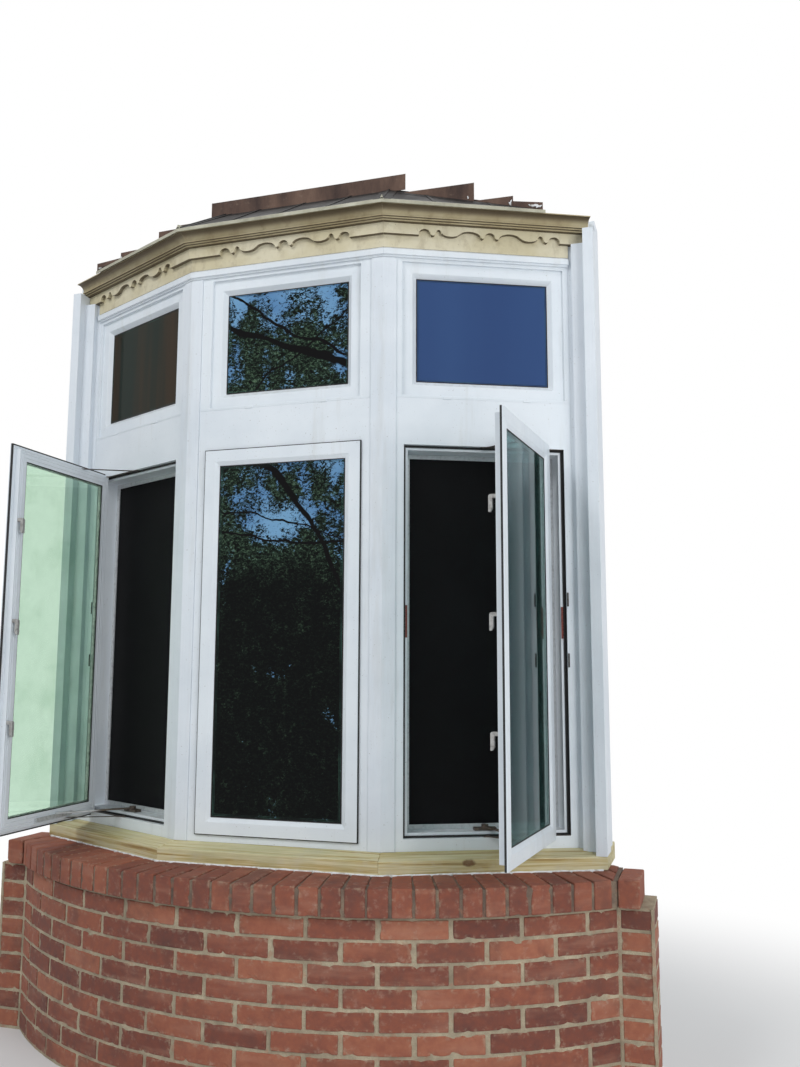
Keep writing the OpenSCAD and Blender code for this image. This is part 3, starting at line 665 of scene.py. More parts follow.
def cornice_material(stem, side, light, deep, dirt):
    """Old cream paint on wood, with brown grime in run marks, and faces that look down painted dark
    brown as painted shade.
    """
    s = Shader(stem + "_" + SIDES[side])
    turn = side * BAY_ANGLE
    grain = s.noise(150, 4, 0.6, s.stretched((18, 1, 1), turn))
    body = s.stain(light, deep, s.noise(5, 4, 0.6), 0.36, 0.66)
    grime = s.band(s.noise(20, 6, 0.7, s.stretched((1, 1, 1.6))), 0.47, 0.7, 0, dirt)
    dirty = s.mix(grime, body, (132, 116, 86))
    # Painted shade: faces that look down are darkened towards dark brown
    under = s.band(s.facing("Z"), -0.95, -0.2, 0.9, 0)
    shaded = s.mix(under, dirty, (74, 60, 40))
    flake = s.band(s.noise(64, 5, 0.7), 0.66, 0.72, 0, 0.6)
    flaked = s.mix(flake, shaded, (120, 106, 84))
    top = s.band(s.facing("Z"), 0.5, 0.9, 0, 0.6)
    s.set(Base_Color=s.mix(top, flaked, (110, 98, 74)))
    s.set(Roughness=s.sheen(grain, 0.5, 0.68))
    s.bump(grain, 0.0007)
    s.bump(flake, 0.0005)
    return s.material


def shade_and_reflection_glass_material(name, first, second, folds, gloss):
    """Double glazing as an opaque sheet in one soft tone with upright folds: painted shade of the unlit
    room behind it, with painted reflection in its tone.
    """
    s = Shader(name)
    fold = s.noise(folds, 3, 0.6, s.stretched((1, 1, 14)))
    s.set(Base_Color=s.stain(first, second, fold, 0.35, 0.65))
    s.set(Roughness=s.sheen(s.noise(3, 3), 0.02, 0.06))
    s.set(Specular_IOR_Level=gloss, IOR=1.5)
    s.bump(s.noise(2.2, 1), 0.0006)
    return s.material


def reflection_painted_glass_material(name, sky_from, sky_to, open_sky, boughs):
    """Dark glazing with a painted reflection of foliage and sky in soft green and blue tones, with dark
    boughs across them.
    """
    s = Shader(name)
    leaf = s.noise(120, 5, 0.72, s.stretched((1.4, 1, 1)), 0.9)
    spray = s.noise(17, 5, 0.62, None, 0.6)
    crown = s.noise(4.2, 3, 0.5)
    green = s.ramp(
        leaf, (0.40, (8, 11, 10)), (0.50, (20, 30, 24)),
        (0.57, (50, 70, 56)), (0.68, (104, 130, 102)),
    )
    height = s.band(s.axis("Z"), sky_from, sky_to, 0, 1)
    lit = s.weigh((spray, 0.6), (height, 0.35))
    deep = s.mix(s.band(lit, 0.28, 0.62, 0.05, 1), (8, 10, 11), green)
    gaps = s.weigh((crown, 0.6), (spray, 0.4), (leaf, 0.62), (height, open_sky))
    sky = s.band(gaps, 0.985, 1.03)
    blue = s.stain((84, 126, 170), (116, 160, 196), s.noise(5, 3), 0.3, 0.7)
    colour = s.mix(sky, deep, blue)
    wander = s.math("MULTIPLY", s.math("SUBTRACT", s.noise(6, 3, 0.5), 0.5), 0.10)
    for lift, rise, bow, thick in boughs:
        bent = s.math("MULTIPLY", s.math("MULTIPLY", s.axis("X"), s.axis("X")), bow)
        line = s.math("ADD", s.math("MULTIPLY", s.axis("X"), rise), bent)
        place = s.math("ADD", s.axis("Z"), wander)
        off = s.math("SUBTRACT", place, s.math("ADD", line, lift))
        bough = s.band(s.math("ABSOLUTE", off), thick, thick * 1.5, 1, 0)
        colour = s.mix(bough, colour, (13, 13, 14))
    s.set(Base_Color=colour, Roughness=s.sheen(s.noise(3, 3), 0.02, 0.06))
    s.set(Specular_IOR_Level=0.07, IOR=1.5)
    s.bump(s.noise(2.2, 1), 0.0006)
    return s.material


def clear_glass_material(name, clean, hazy):
    """Clear coated glass, faintly tinted, with a little dust."""
    s = Shader(name)
    haze = s.band(s.noise(6, 5, 0.7), 0.4, 0.75)
    s.set(Base_Color=s.mix(haze, clean, hazy))
    s.set(Roughness=s.band(haze, 0, 1, 0.0, 0.008))
    s.set(Transmission_Weight=1.0, IOR=1.3)
    s.bump(s.noise(2.5, 1), 0.0004)
    return s.material


def screen_frame_material():
    """Pale painted aluminium of the insect screens."""
    tones = (196, 200, 203), (140, 144, 148)
    s = plain_finish("screen_frame", (90, 4, 0.6), (0.45, 0.75, 0.5), *tones, (0.34, 0.5))[0]
    s.bump(s.noise(380, 2), 0.0001)
    return s.material


def screen_mesh_material():
    """Black woven fly mesh, at its real pitch, as an opaque sheet: the gaps between threads are painted
    near black as painted shade of the room behind.
    """
    s = Shader("fly_mesh")
    fed = {"Vector": s.place, "Scale": 110}
    threads = [s.node("TexWave", fed, bands_direction=way)["Fac"] for way in "XZ"]
    weave = s.math("MAXIMUM", *threads)
    cloth = s.stain((15, 16, 19), (27, 28, 31), s.noise(4, 4, 0.6), 0.4, 0.7)
    # Painted shade: the near-black base between the threads stands for the dark room behind
    s.set(Base_Color=s.stain((6, 6, 8), cloth, weave, 0.6, 0.95, 0.5))
    s.set(Roughness=0.75, Specular_IOR_Level=0.2)
    s.bump(weave, 0.0002)
    return s.material


def steel_shader(name):
    """Dulled steel without its colour, and its wear."""
    s = Shader(name)
    wear = s.noise(70, 5, 0.65)
    s.set(Metallic=0.3, Roughness=s.sheen(wear, 0.36, 0.58))
    s.bump(wear, 0.0002)
    return s, wear


def operator_material():
    """Dark bronze gear case and arms, whose rail on the sash is painted pale."""
    s, wear = steel_shader("operator_steel")
    bronze = s.stain((92, 82, 72), (58, 52, 48), wear, 0.4, 0.7)
    paint = s.stain((196, 200, 202), (170, 173, 174), wear, 0.4, 0.7)
    s.set(Base_Color=s.stain(paint, bronze, s.axis("Y"), 0.25, 0.28))
    return s.material


def hardware_material(name, clean, worn, rusting):
    """Plated or painted steel, dulled, with rust-brown marks."""
    s, wear = steel_shader(name)
    plate = s.stain(clean, worn, wear, 0.4, 0.7)
    s.set(Base_Color=s.stain(plate, (122, 70, 52), s.noise(42, 5, 0.7), 0.6, 0.7, rusting))
    return s.material


def strike_material():
    """Red-brown plastic of the lock strikes."""
    tones = (118, 54, 44), (92, 44, 40)
    s, wear = plain_finish("strike_plastic", (110, 4, 0.6), (0.4, 0.7), *tones, (0.4, 0.6))
    s.bump(wear, 0.0002)
    return s.material


def sheet_material(name, dark, middle, faded, chalky):
    """Painted sheet metal, faded in streaks down the slope."""
    s = Shader(name)
    streak = s.noise(9, 5, 0.65, s.stretched((1, 3, 3)))
    body = s.ramp(streak, (0.32, dark), (0.5, middle), (0.66, faded))
    chalk = s.band(s.noise(30, 6, 0.7), 0.56, 0.74, 0, 0.5)
    s.set(Base_Color=s.mix(chalk, body, chalky), Roughness=s.sheen(streak, 0.38, 0.6))
    s.set(Specular_IOR_Level=0.25)
    s.bump(s.noise(5, 2), 0.004)
    s.bump(s.noise(140, 3), 0.0003)
    return s.material


def beam_material():
    """Sawn softwood of the head beam."""
    s = Shader("sawn_softwood")
    grain = s.noise(40, 4, 0.6, s.stretched((14, 14, 1)), 0.5)
    saw = s.noise(240, 2, 0.5, s.stretched((1, 1, 12)))
    body = s.ramp(grain, (0.3, (132, 112, 84)), (0.5, (158, 138, 106)), (0.7, (144, 122, 90)))
    s.set(Base_Color=s.stain(body, (112, 94, 70), saw, 0.5, 0.8, 0.3), Roughness=0.8)
    s.bump(grain, 0.001)
    s.bump(saw, 0.0008)
    return s.material


def inside_paint_material():
    """Off-white painted inside boards."""
    s = Shader("inside_paint")
    cloud = s.noise(5, 4, 0.6)
    roller = s.noise(260, 3, 0.6)
    s.set(Base_Color=s.stain((222, 216, 202), (208, 201, 186), cloud, 0.35, 0.7))
    s.set(Roughness=s.sheen(roller, 0.5, 0.66))
    s.bump(roller, 0.0004)
    return s.material


def block_material():
    """Grey concrete block, open-textured."""
    s = Shader("concrete_block", loose=True)
    pores = s.noise(120, 4, 0.7)
    fired = s.weigh((s.attribute("tone"), 0.5), (s.noise(18, 5, 0.6), 0.5))
    body = s.ramp(fired, (0.2, (140, 137, 130)), (0.5, (168, 165, 157)), (0.8, (190, 187, 178)))
    s.set(Base_Color=s.mix(s.band(pores, 0.3, 0.45, 0.5, 0), body, (104, 100, 94)), Roughness=0.95)
    s.bump(pores, 0.002)
    return s.material


def sealant_material():
    """White sealant, dusty, with a soft sheen."""
    tones = (226, 229, 232), (180, 176, 166)
    s = plain_finish("white_sealant", (55, 4, 0.65), (0.42, 0.72), *tones, (0.35, 0.6))[0]
    s.bump(s.noise(150, 3), 0.0005)
    return s.material


def gasket_material():
    """Black rubber weather strip."""
    tones = (22, 22, 24), (52, 52, 52)
    s, dust = plain_finish("black_rubber", (80, 4, 0.6), (0.45, 0.75), *tones, (0.5, 0.7))
    s.bump(dust, 0.0002)
    return s.material


# Brick base

def bow_place(theta, radius, depth):
    """World place of a straight brick's local point, with its middle on the bow at theta."""
    along = Vector((math.cos(theta), math.sin(theta), 0))
    inward = Vector((-math.sin(theta), math.cos(theta), 0))
    middle = bow_point(theta, radius)
    return lambda p: middle + along * p.x + inward * (p.y + depth / 2) + up(p.z)


def bent_place(theta, radius, depth, length):
    """World place of a stretcher's local point: it follows the bow, with a slightly flat face."""
    def place(point):
        angle = theta + point.x / BOW_R
        flat = 0.0012 * (1 - (2 * point.x / length) ** 2)
        reach = radius - flat - point.y - depth / 2
        return bow_point(angle, reach, point.z)
    return place


def base_bricks(material):
    """Nine courses of stretchers round the bow, with half bricks at the ends of every other one."""
    build = Builder()
    rng = random.Random(5)
    depth = 0.100
    head_joint = BOW_PITCH * BOW_R - BRICK_L
    for course in range(COURSES):
        low = course * COURSE_H + BED
        shift = 0 if course % 2 == 0 else 0.5
        joints = [(n + shift) * BOW_PITCH for n in range(-6, 7)]
        joints = [-BOW_END] + [j for j in joints if abs(j) < BOW_END - 0.01] + [BOW_END]
        for start, end in zip(joints, joints[1:]):
            first = start + head_joint / 2 / BOW_R * (start > -BOW_END)
            last = end - head_joint / 2 / BOW_R * (end < BOW_END)
            length = (last - first) * BOW_R + rng.uniform(-0.002, 0.001)
            theta = (first + last) / 2 + rng.uniform(-0.0006, 0.0006)
            place = bent_place(theta, BOW_R - 0.0003 - rng.uniform(0, 0.0012), depth, length)
            steps = (max(5, round(length / 0.014)), 1, 4)
            size = (length, depth, BRICK_H + rng.uniform(-0.0015, 0.001))
            points, faces, rims = worn_block(size, 0.0032, steps, rng.uniform(0, 90))
            lean = rng.uniform(-0.006, 0.006)
            middle = up(low + BRICK_H / 2)
            moved = [place(p + up(lean * p.x)) + middle for p in points]
            build.add(moved, faces, rng.random(), rims)
        for side in BOTH:
            for x0, x1, y0, y1 in RETURN_BRICKS:
                size = (x1 - x0, y1 - y0 - 0.002, BRICK_H + rng.uniform(-0.0015, 0.001))
                middle = Vector(((x0 + x1) / 2, (y0 + y1) / 2, low + BRICK_H / 2))
                middle.x += rng.uniform(-0.0012, 0.0012)
                points, faces, rims = worn_block(size, 0.0032, (5, 9, 4), rng.uniform(0, 90))
                moved = [middle + p for p in points]
                moved = [Vector((side * p.x, p.y, p.z)) for p in moved]
                build.add(moved, [face[::side] for face in faces], rng.random(), rims)
    build.piece("base_bricks", material, ["brick_base"])


def base_outline(recess):
    """Plan of the mortar body, anticlockwise, just behind the brick faces."""
    right = []
    out_r, in_r = BOW_R - recess, BOW_IN_R + 0.001
    steps = 150
    for n in range(steps + 1):
        angle = BOW_END * n / steps
        right.append((out_r * math.sin(angle), BOW_Y - out_r * math.cos(angle)))
    edge_x, front, back = RETURN_X - 0.0035, WALL_Y + 0.0035, RETURN_BACK - 0.0035
    for n in range(1, 13):
        right.append((BOW_X + (edge_x - BOW_X) * n / 12, front))
    for n in range(1, 21):
        right.append((edge_x, front + (back - front) * n / 20))
    inner_x = math.sqrt(in_r ** 2 - (BOW_Y - back) ** 2)
    for n in range(1, 20):
        right.append((edge_x + (inner_x - edge_x) * n / 20, back))
    inner_end = math.asin(inner_x / in_r)
    for n in range(61):
        angle = inner_end * (1 - n / 60)
        right.append((in_r * math.sin(angle), BOW_Y - in_r * math.cos(angle)))
    left = [(-x, y) for x, y in right[::-1]]
    return right[:-1] + left[:-1]


def base_mortar(material):
    """Mortar behind and between the bricks, with an uneven struck face."""
    outline = base_outline(0.0048)
    count = len(outline)
    levels = [WALL_TOP * n / 80 for n in range(81)]
    points = []
    for z in levels:
        for n, (x, y) in enumerate(outline):
            before, after = outline[n - 1], outline[(n + 1) % count]
            out = Vector((after[1] - before[1], before[0] - after[0], 0)).normalized()
            spot = Vector((x, y, z))
            rough = 0.0009 * noise.noise(spot * 45) + 0.0007 * noise.noise(spot * 12)
            points.append(spot + out * rough)
    faces = []
    for row in range(len(levels) - 1):
        near, far = row * count, (row + 1) * count
        for n in range(count):
            m = (n + 1) % count
            faces.append([near + n, near + m, far + m, far + n])
    caps = geometry.tessellate_polygon([[Vector((x, y, 0)) for x, y in outline]])
    top = (len(levels) - 1) * count
    for face in caps:
        faces.append([top + n for n in face])
        faces.append(list(face)[::-1])
    build = Builder()
    build.add(points, faces)
    build.piece("base_mortar", material, ["brick_base"])


def edge_pointing(material):
    """Mortar drawn over the outer edge of the returns, where they met the stone."""
    build = Builder()
    for side in BOTH:
        sections = []
        for n in range(80):
            z = 0.002 + (WALL_TOP - 0.004) * n / 79
            inner = 1.223 + 0.004 * noise.noise(Vector((side * 3, 0, z * 30)))
            front = WALL_Y - 0.0015 - 0.0012 * noise.noise(Vector((side * 5, 2, z * 55)))
            ring = [(inner, WALL_Y + 0.004), (inner + 0.003, front)]
            ring += [(RETURN_X - 0.0006, front + 0.0008), (RETURN_X - 0.0004, WALL_Y + 0.010)]
            sections.append([Vector((side * x, y, z)) for x, y in ring])
        add_sweep(build, sections)
    build.piece("edge_pointing", material)


# Sill course

def cap_top_z(radius):
    """Height of the sill course's top at a distance from the bow's centre."""
    share = max(0.0, min(1.0, (radius - CAP_SLOPE_R) / (CAP_R - CAP_SLOPE_R)))
    return CAP_TOP - CAP_FALL * share


def cap_bricks(material):
    """Bricks on edge round the bow, square to it, with a level brick on each return."""
    build = Builder()
    rng = random.Random(11)
    height = CAP_TOP - WALL_TOP
    for n in range(-18, 19):
        theta = CAP_PHASE + n * CAP_PITCH + rng.uniform(-0.0007, 0.0007)
        width = 0.0632 + rng.uniform(-0.0015, 0.001)
        size = (width, CAP_DEPTH, height)
        points, faces, rims = worn_block(size, 0.0050, (4, 12, 6), rng.uniform(0, 90))
        out = rng.uniform(-0.0016, 0)
        place = bow_place(theta, CAP_R + out - 0.0004, CAP_DEPTH)
        moved = []
        for point in points:
            radius = CAP_R - (point.y + CAP_DEPTH / 2)
            share = (point.z + height / 2) / height
            drop = (CAP_TOP - cap_top_z(radius)) * share
            moved.append(place(point) + up(WALL_TOP + height / 2 - drop))
        if abs(theta) > CAP_CUT_ANGLE:
            side = math.copysign(1, theta)
            planes = [(Vector((side * CAP_FAN_X, 0, 0)), Vector((side, 0, 0))),
                      (Vector((0, CAP_BACK - 0.002, 0)), Vector((0, 1, 0)))]
            moved, faces = clipped(moved, faces, planes)
            rims = None
        if moved:
            build.add(moved, faces, 0.15 + 0.6 * rng.random(), rims)
    for side in BOTH:
        size = (CAP_END_X - CAP_LEVEL_X, CAP_DEPTH - 0.002, height - CAP_FALL)
        points, faces, rims = worn_block(size, 0.0050, (4, 12, 6), rng.uniform(0, 90))
        across = side * (CAP_END_X + CAP_LEVEL_X) / 2
        middle = Vector((across, CAP_BACK - CAP_DEPTH / 2, WALL_TOP + size[2] / 2))
        build.add([middle + p for p in points], faces, 0.3 + 0.3 * rng.random(), rims)
    build.piece("sill_course_bricks", material, ["brick_sill_course"])


def cap_mortar(material):
    """Mortar between the bricks on edge, struck a little behind their faces."""
    build = Builder()
    sections = []
    count = 300
    for n in range(count + 1):
        theta = -CAP_MORTAR_ANGLE + 2 * CAP_MORTAR_ANGLE * n / count
        ring = [(CAP_IN_R + 0.002, WALL_TOP + 0.001), (CAP_R - 0.006, WALL_TOP + 0.001)]
        ring += [(CAP_R - 0.005, WALL_TOP + 0.08 * m / 5) for m in range(1, 6)]
        ring += [(CAP_R - 0.008 - 0.19 * m / 12, 0) for m in range(12)]
        section = []
        for radius, z in ring:
            spot = Vector((theta * 1.6, radius, z)) * 40
            if z == 0:
                z = cap_top_z(radius) - 0.0058 + 0.0012 * noise.noise(spot)
            elif radius > CAP_R - 0.01:
                radius += 0.0012 * noise.noise(spot)
            section.append(bow_point(theta, radius, z))
        sections.append(section)
    add_sweep(build, sections)
    points, faces = build.points, build.faces
    for side in BOTH:
        plane = (Vector((side * CAP_MORTAR_X, 0, 0)), Vector((side, 0, 0)))
        points, faces = clipped(points, faces, [plane])
    back = (Vector((0, CAP_BACK - 0.0025, 0)), Vector((0, 1, 0)))
    points, faces = clipped(points, faces, [back])
    done = Builder()
    done.add(points, faces)
    done.piece("sill_course_mortar", material, ["brick_sill_course"])


# Sealant, gaskets, spacers and welds

def sill_front_path(out, step):
    """Places and outward directions along a line in front of the facets, left to right."""
    end_u = SIDE_W + 0.055
    corners = [facet_point(-1, end_u, -out, 0), fold_point(-1, -out, 0)]
    corners += [fold_point(1, -out, 0), facet_point(1, end_u, -out, 0)]
    path = []
    for start, end in zip(corners, corners[1:]):
        run = end - start
        out_way = Vector((run.y, -run.x, 0)).normalized()
        count = max(2, int(run.length / step))
        for n in range(count):
            share = (n + 0.5) / count
            path.append((start + run * share, out_way))
    return path


def sill_sealant(material):
    """Bead of white sealant under the timber's front edge, with smears and short drips."""
    build = Builder()
    sections = []
    for n, (spot, out) in enumerate(sill_front_path(SILL_OUT, 0.006)):
        wave = noise.noise(Vector((n * 0.11, 0, 3)))
        drip = max(0.0, noise.noise(Vector((n * 0.23, 7, 1))) - 0.35)
        wide = 0.0034 + 0.0018 * wave + 0.020 * drip
        high = 0.0038 + 0.0020 * noise.noise(Vector((n * 0.17, 4, 9)))
        low = CAP_TOP - 0.006
        inner = spot - out * 0.002
        ring = [inner + up(low), spot + out * wide + up(low)]
        ring.append(spot + out * wide * 0.95 + up(CAP_TOP + 0.0012))
        ring.append(spot + out * wide * 0.55 + up(CAP_TOP + high * 0.6))
        ring.append(spot + out * 0.0012 + up(CAP_TOP + high))
        ring.append(inner + up(CAP_TOP + high))
        sections.append(ring)
    add_sweep(build, sections)
    build.piece("sill_sealant", material, smooth=True)


def frame_gaskets(material):
    """Black strips round the transom panes and at the stops of the open sides, and a black strip over
    each hinge jamb's rebate that is painted shade.
    """
    build = Builder()
    inset = OPENING_INSET + 0.0005
    half = SASH_W / 2 - inset
    low, high = SASH_Z + inset, SASH_Z + SASH_H - inset
    edge = SIDE_MID_U + SASH_W / 2 - OPENING_INSET
    for side in SIDES:
        pane_ring(build, side, 0, 0.003, PANE_SEAT - 0.0015, PANE_SEAT)
        if side == 0:
            continue
        place = facet_place(side)
        start, end = (SIDE_MID_U - half, low), (SIDE_MID_U + half, high)
        add_ring(build, place, start, end, 0.007, STOP_V - 0.005, STOP_V + 0.0003)
        # Painted shade: black strip over the hinge jamb's rebate face
        add_slab(build, place, (edge - 0.0012, low), (edge + 0.0003, high), 0.0025, STOP_V - 0.001)
    build.piece("frame_gaskets", material)


def sash_gaskets(material):
    """Black strips: behind the sash's flange, and round both faces of its pane. Round the centre sash
    the flange strip reaches past the sash onto the frame's face as a painted shadow line.
    """
    build = Builder()
    for side in SIDES:
        for front in (SASH_GLAZING_BACK - 0.0015, SASH_GLAZING_END):
            sash_ring(build, side, SASH_BAR_W, 0.003, front, front + 0.0015)
        # On the centre sash the strip reaches past the sash's edge: a painted shadow line on the
        # frame's face
        out = 0.0004 if side else -SHADOW_LINE_OUT
        sash_ring(build, side, out, SHOULDER_INSET - out, FLANGE_T, SASH_PROUD - 0.0004)
    build.piece("sash_gaskets", material)


def glazing_beads(material):
    """White beads that hold the panes in the sashes, on the inner side."""
    build = Builder()
    width = GLAZING_LAP - 0.0003
    for side in SIDES:
        sash_ring(build, side, SASH_BAR_W - width, width, SASH_GLAZING_END, SASH_T - 0.0015)
    build.piece("glazing_beads", material)


def pane_spacers(material):
    """Spacer bars between the two sheets of the open sashes' double glazing."""
    build = Builder()
    front = SASH_GLAZING_BACK + 0.0042
    for side in BOTH:
        sash_ring(build, side, SASH_BAR_W - 0.002, 0.009, front, front + GLAZING_T - 0.0084)
    build.piece("pane_spacers", material)


def clear_panes(material, side):
    """Two sheets of glass in an open sash."""
    build = Builder()
    edge = SASH_BAR_W - GLAZING_LAP
    low, high = (edge, edge), (SASH_W - edge, SASH_H - edge)
    for front in (SASH_GLAZING_BACK, SASH_GLAZING_END - 0.004):
        add_slab(build, leaf_place(side), low, high, front, front + 0.004)
    node = "casement_glass_" + SIDES[side]
    build.piece("clear_panes_" + SIDES[side], material, [node])


def add_seam(build, place, start, end, depth, width=0.0009, proud=0.0004):
    """A fine raised line on a face, from one (u, z) point to another."""
    run = Vector((end[0] - start[0], end[1] - start[1]))
    aside = Vector((-run.y, run.x)).normalized() * width / 2
    flat = []
    for point, sign in ((start, -1), (start, 1), (end, 1), (end, -1)):
        flat.append((point[0] + sign * aside.x, point[1] + sign * aside.y))
    points = [place(a, deep, z) for deep in (depth + 0.0004, depth - proud) for a, z in flat]
    sides = [[n, 4 + n, 4 + (n + 1) % 4, (n + 1) % 4] for n in range(4)]
    build.add(points, [[0, 1, 2, 3], [7, 6, 5, 4]] + sides)


def corner_seams(build, place, low, high, reach, depth):
    """The four diagonal weld lines of a rectangular frame."""
    for a, z, da, dz in ((low[0], low[1], 1, 1), (high[0], low[1], -1, 1),
                         (high[0], high[1], -1, -1), (low[0], high[1], 1, -1)):
        add_seam(build, place, (a, z), (a + da * reach, z + dz * reach), depth)


def weld_lines(material):
    """Weld lines at the corners of the sashes and of the sunk transom bands."""
    build = Builder()
    half = TRANSOM_W / 2 + BAND_W
    for side in SIDES:
        edge = 0.001
        low, high = (edge, edge), (SASH_W - edge, SASH_H - edge)
        corner_seams(build, leaf_place(side), low, high, SASH_BAR_W - 0.016, 0.0)
        mid = MID_U[side]
        low, high = (mid - half, TRANSOM_LOW - BAND_W), (mid + half, TRANSOM_HIGH + BAND_W)
        corner_seams(build, facet_place(side), low, high, BAND_W - 0.016, BAND_D)
    build.piece("weld_lines", material)


def unit_joints(material):
    """Line between the casement and the transom of each unit, with its two weep covers."""
    build = Builder()
    line_z = TRANSOM_LOW - BAND_W - 0.009
    for side in SIDES:
        mid = MID_U[side]
        half = HALF_CENTRE - BOARD_W if side == 0 else SASH_W / 2 + SIDE_JAMB_W
        place = facet_place(side)
        for lift, proud in ((0.0, 0.0010), (0.0045, 0.0004)):
            z = line_z + lift
            add_seam(build, place, (mid - half + 0.001, z), (mid + half - 0.001, z), 0.0, 0.0022, proud)
        for u in (mid - 0.134, mid + 0.155):
            points, faces = block_surface((0.030, 0.004, 0.009), 0.0016, (4, 1, 2))
            spot = place(u, -0.0008, line_z + 0.0015)
            turn = Matrix.Rotation(side * BAY_ANGLE, 3, "Z")
            build.add([spot + turn @ p for p in points], faces)
    build.piece("unit_joints", material)


def lock_strikes(material):
    """Long strike pads on the stops of the open sides, halfway up both jambs."""
    build = Builder()
    for side in BOTH:
        for jamb in BOTH:
            edge = SIDE_MID_U + jamb * (SASH_W / 2 - 0.0285)
            far = edge + jamb * 0.0065
            low, high = (min(edge, far), STRIKE_Z[0]), (max(edge, far), STRIKE_Z[1])
            add_slab(build, facet_place(side), low, high, STOP_V - 0.0030, STOP_V + 0.0004)
    build.piece("lock_strikes", material)


def jamb_clips(material):
    """Dark brackets on the frame's face beside the hinge jamb, and small clips on the other jamb."""
    build = Builder()
    half = SASH_W / 2 - OPENING_INSET
    hinge, latch = SIDE_MID_U + half, SIDE_MID_U - half
    for side in BOTH:
        place = facet_place(side)
        for z in BRACKETS_Z:
            low, high = (hinge + 0.0010, z - 0.024), (hinge + 0.0070, z + 0.024)
            add_slab(build, place, low, high, -0.0024, 0.0005)
        for z in CLIPS_Z:
            low, high = (latch - 0.0003, z - 0.006), (latch + 0.0040, z + 0.006)
            add_slab(build, place, low, high, 0.002, 0.012)
    build.piece("jamb_clips", material)


def glass_edges(material):
    """Fine lines of the spacer bars, seen at the edges of the dark panes."""
    build = Builder()
    for side in SIDES:
        pane_ring(build, side, 0.006, 0.0012, PANE_SEAT - 0.0003, PANE_SEAT + 0.0004)
    front, back = SASH_GLAZING_BACK - 0.0003, SASH_GLAZING_BACK + 0.0004
    for inset, width in ((0.006, 0.0012), (0.011, 0.0008)):
        sash_ring(build, 0, SASH_BAR_W + inset, width, front, back)
    build.piece("glass_edges", material)


def edge_glass_material():
    """Green edge tone of the dark panes."""
    tones = (20, 34, 31), (58, 92, 82)
    s = plain_finish("glass_edge", (7, 3, 0.6), (0.4, 0.65), *tones, (0.1, 0.25))[0]
    s.set(Specular_IOR_Level=0.2)
    s.bump(s.noise(60, 2), 0.0001)
    return s.material


# Roof and flashing

def roof_z(v):
    """Height of the roof at a depth behind a facet."""
    return EAVE_Z + (v - EAVE_V) * ROOF_SLOPE


def wall_line(x):
    """Height of the roof's top against the house wall."""
    return roof_z(min(WALL_V, WALL_V * BAY_COS - (abs(x) - HALF_CENTRE) * BAY_SIN))


def drip_edge(material):
    """Pale folded strip along the roof's lower edge, with a peak turned up at each fold."""
    build = Builder()
    front, inner, lap = EAVE_V - 0.0011, EAVE_V + 0.0002, EAVE_V + 0.014
    lap_z = EAVE_Z + 0.014 * ROOF_SLOPE
    profile = [(front, EAVE_Z - 0.0110), (front, EAVE_Z + 0.0006), (lap, lap_z + 0.0009)]
    profile += [(lap, lap_z - 0.0006), (inner, EAVE_Z - 0.0006), (inner, EAVE_Z - 0.0110)]
    sections = []
    for side in BOTH:
        ends = [(WALL_V - 0.0008 - v * BAY_COS) / BAY_SIN for v, z in profile]
        wall = [facet_point(side, u, v, z) for u, (v, z) in zip(ends, profile)]
        fold = [fold_point(side, v, z) for v, z in profile]
        sections += [wall, fold] if side < 0 else [fold, wall]
    add_sweep(build, sections)
    for side in BOTH:
        tip = fold_point(side, EAVE_V, EAVE_Z)
        back = fold_point(side, EAVE_V + 0.040, EAVE_Z + 0.040 * ROOF_SLOPE)
        shape = ((-0.009, 0.0012, -0.002), (0.009, 0.0012, -0.002), (0, 0.0012, 0.017))
        points = [tip + Vector(place) for place in shape] + [back]
        build.add(points, [[0, 1, 2], [1, 3, 2], [3, 0, 2], [1, 0, 3]])
    build.piece("roof_drip_edge", material)


def roof_hips(material):
    """Folded cap strips over the two hips, with a small roll along each."""
    build = Builder()
    low, high = (EAVE_V, EAVE_Z), (WALL_V - 0.003, APEX_Z)
    for side in BOTH:
        for wing in (0, side):
            corners = []
            for (v, z), reach in ((low, 0), (high, 0), (high, 0.032), (low, 0.032)):
                u = v * MITRE + reach if wing else side * (HALF_CENTRE - v * MITRE - reach)
                corners.append(facet_point(wing, u, v, z + 0.0002))
            add_prism(build, corners, up(0.0016))
        sections = []
        for n in range(12):
            v, z = [start + (end - start) * (n / 11) for start, end in zip(low, high)]
            ring = []
            for m in range(8):
                angle = math.pi * m / 7
                roll = Vector((0.006 * math.cos(angle), 0, 0.001 + 0.005 * math.sin(angle)))
                ring.append(fold_point(side, v, z) + roll)
            sections.append(ring)
        add_sweep(build, sections)
    build.piece("roof_hip_caps", material)


def roof_seams(material):
    """Low folded seams up the slopes of the metal roof."""
    build = Builder()
    back = WALL_V - 0.003
    slope = (APEX_Z - EAVE_Z) / (back - EAVE_V)
    low = EAVE_V + 0.0145
    for side, places in ((0, (-0.19, 0.0, 0.19)), (-1, (0.17, 0.38)), (1, (0.17, 0.38))):
        for u in places:
            reach = min(back, back / BAY_COS - u * math.tan(BAY_ANGLE)) if side else back
            if reach - EAVE_V < 0.05:
                continue
            corners = []
            for v, aside in ((low, -0.006), (reach, -0.006), (reach, 0.006), (low, 0.006)):
                z = EAVE_Z + (v - EAVE_V) * slope + 0.0001
                corners.append(facet_point(side, u + aside, v, z))
            add_prism(build, corners, up(0.0022))
    build.piece("roof_seams", material)


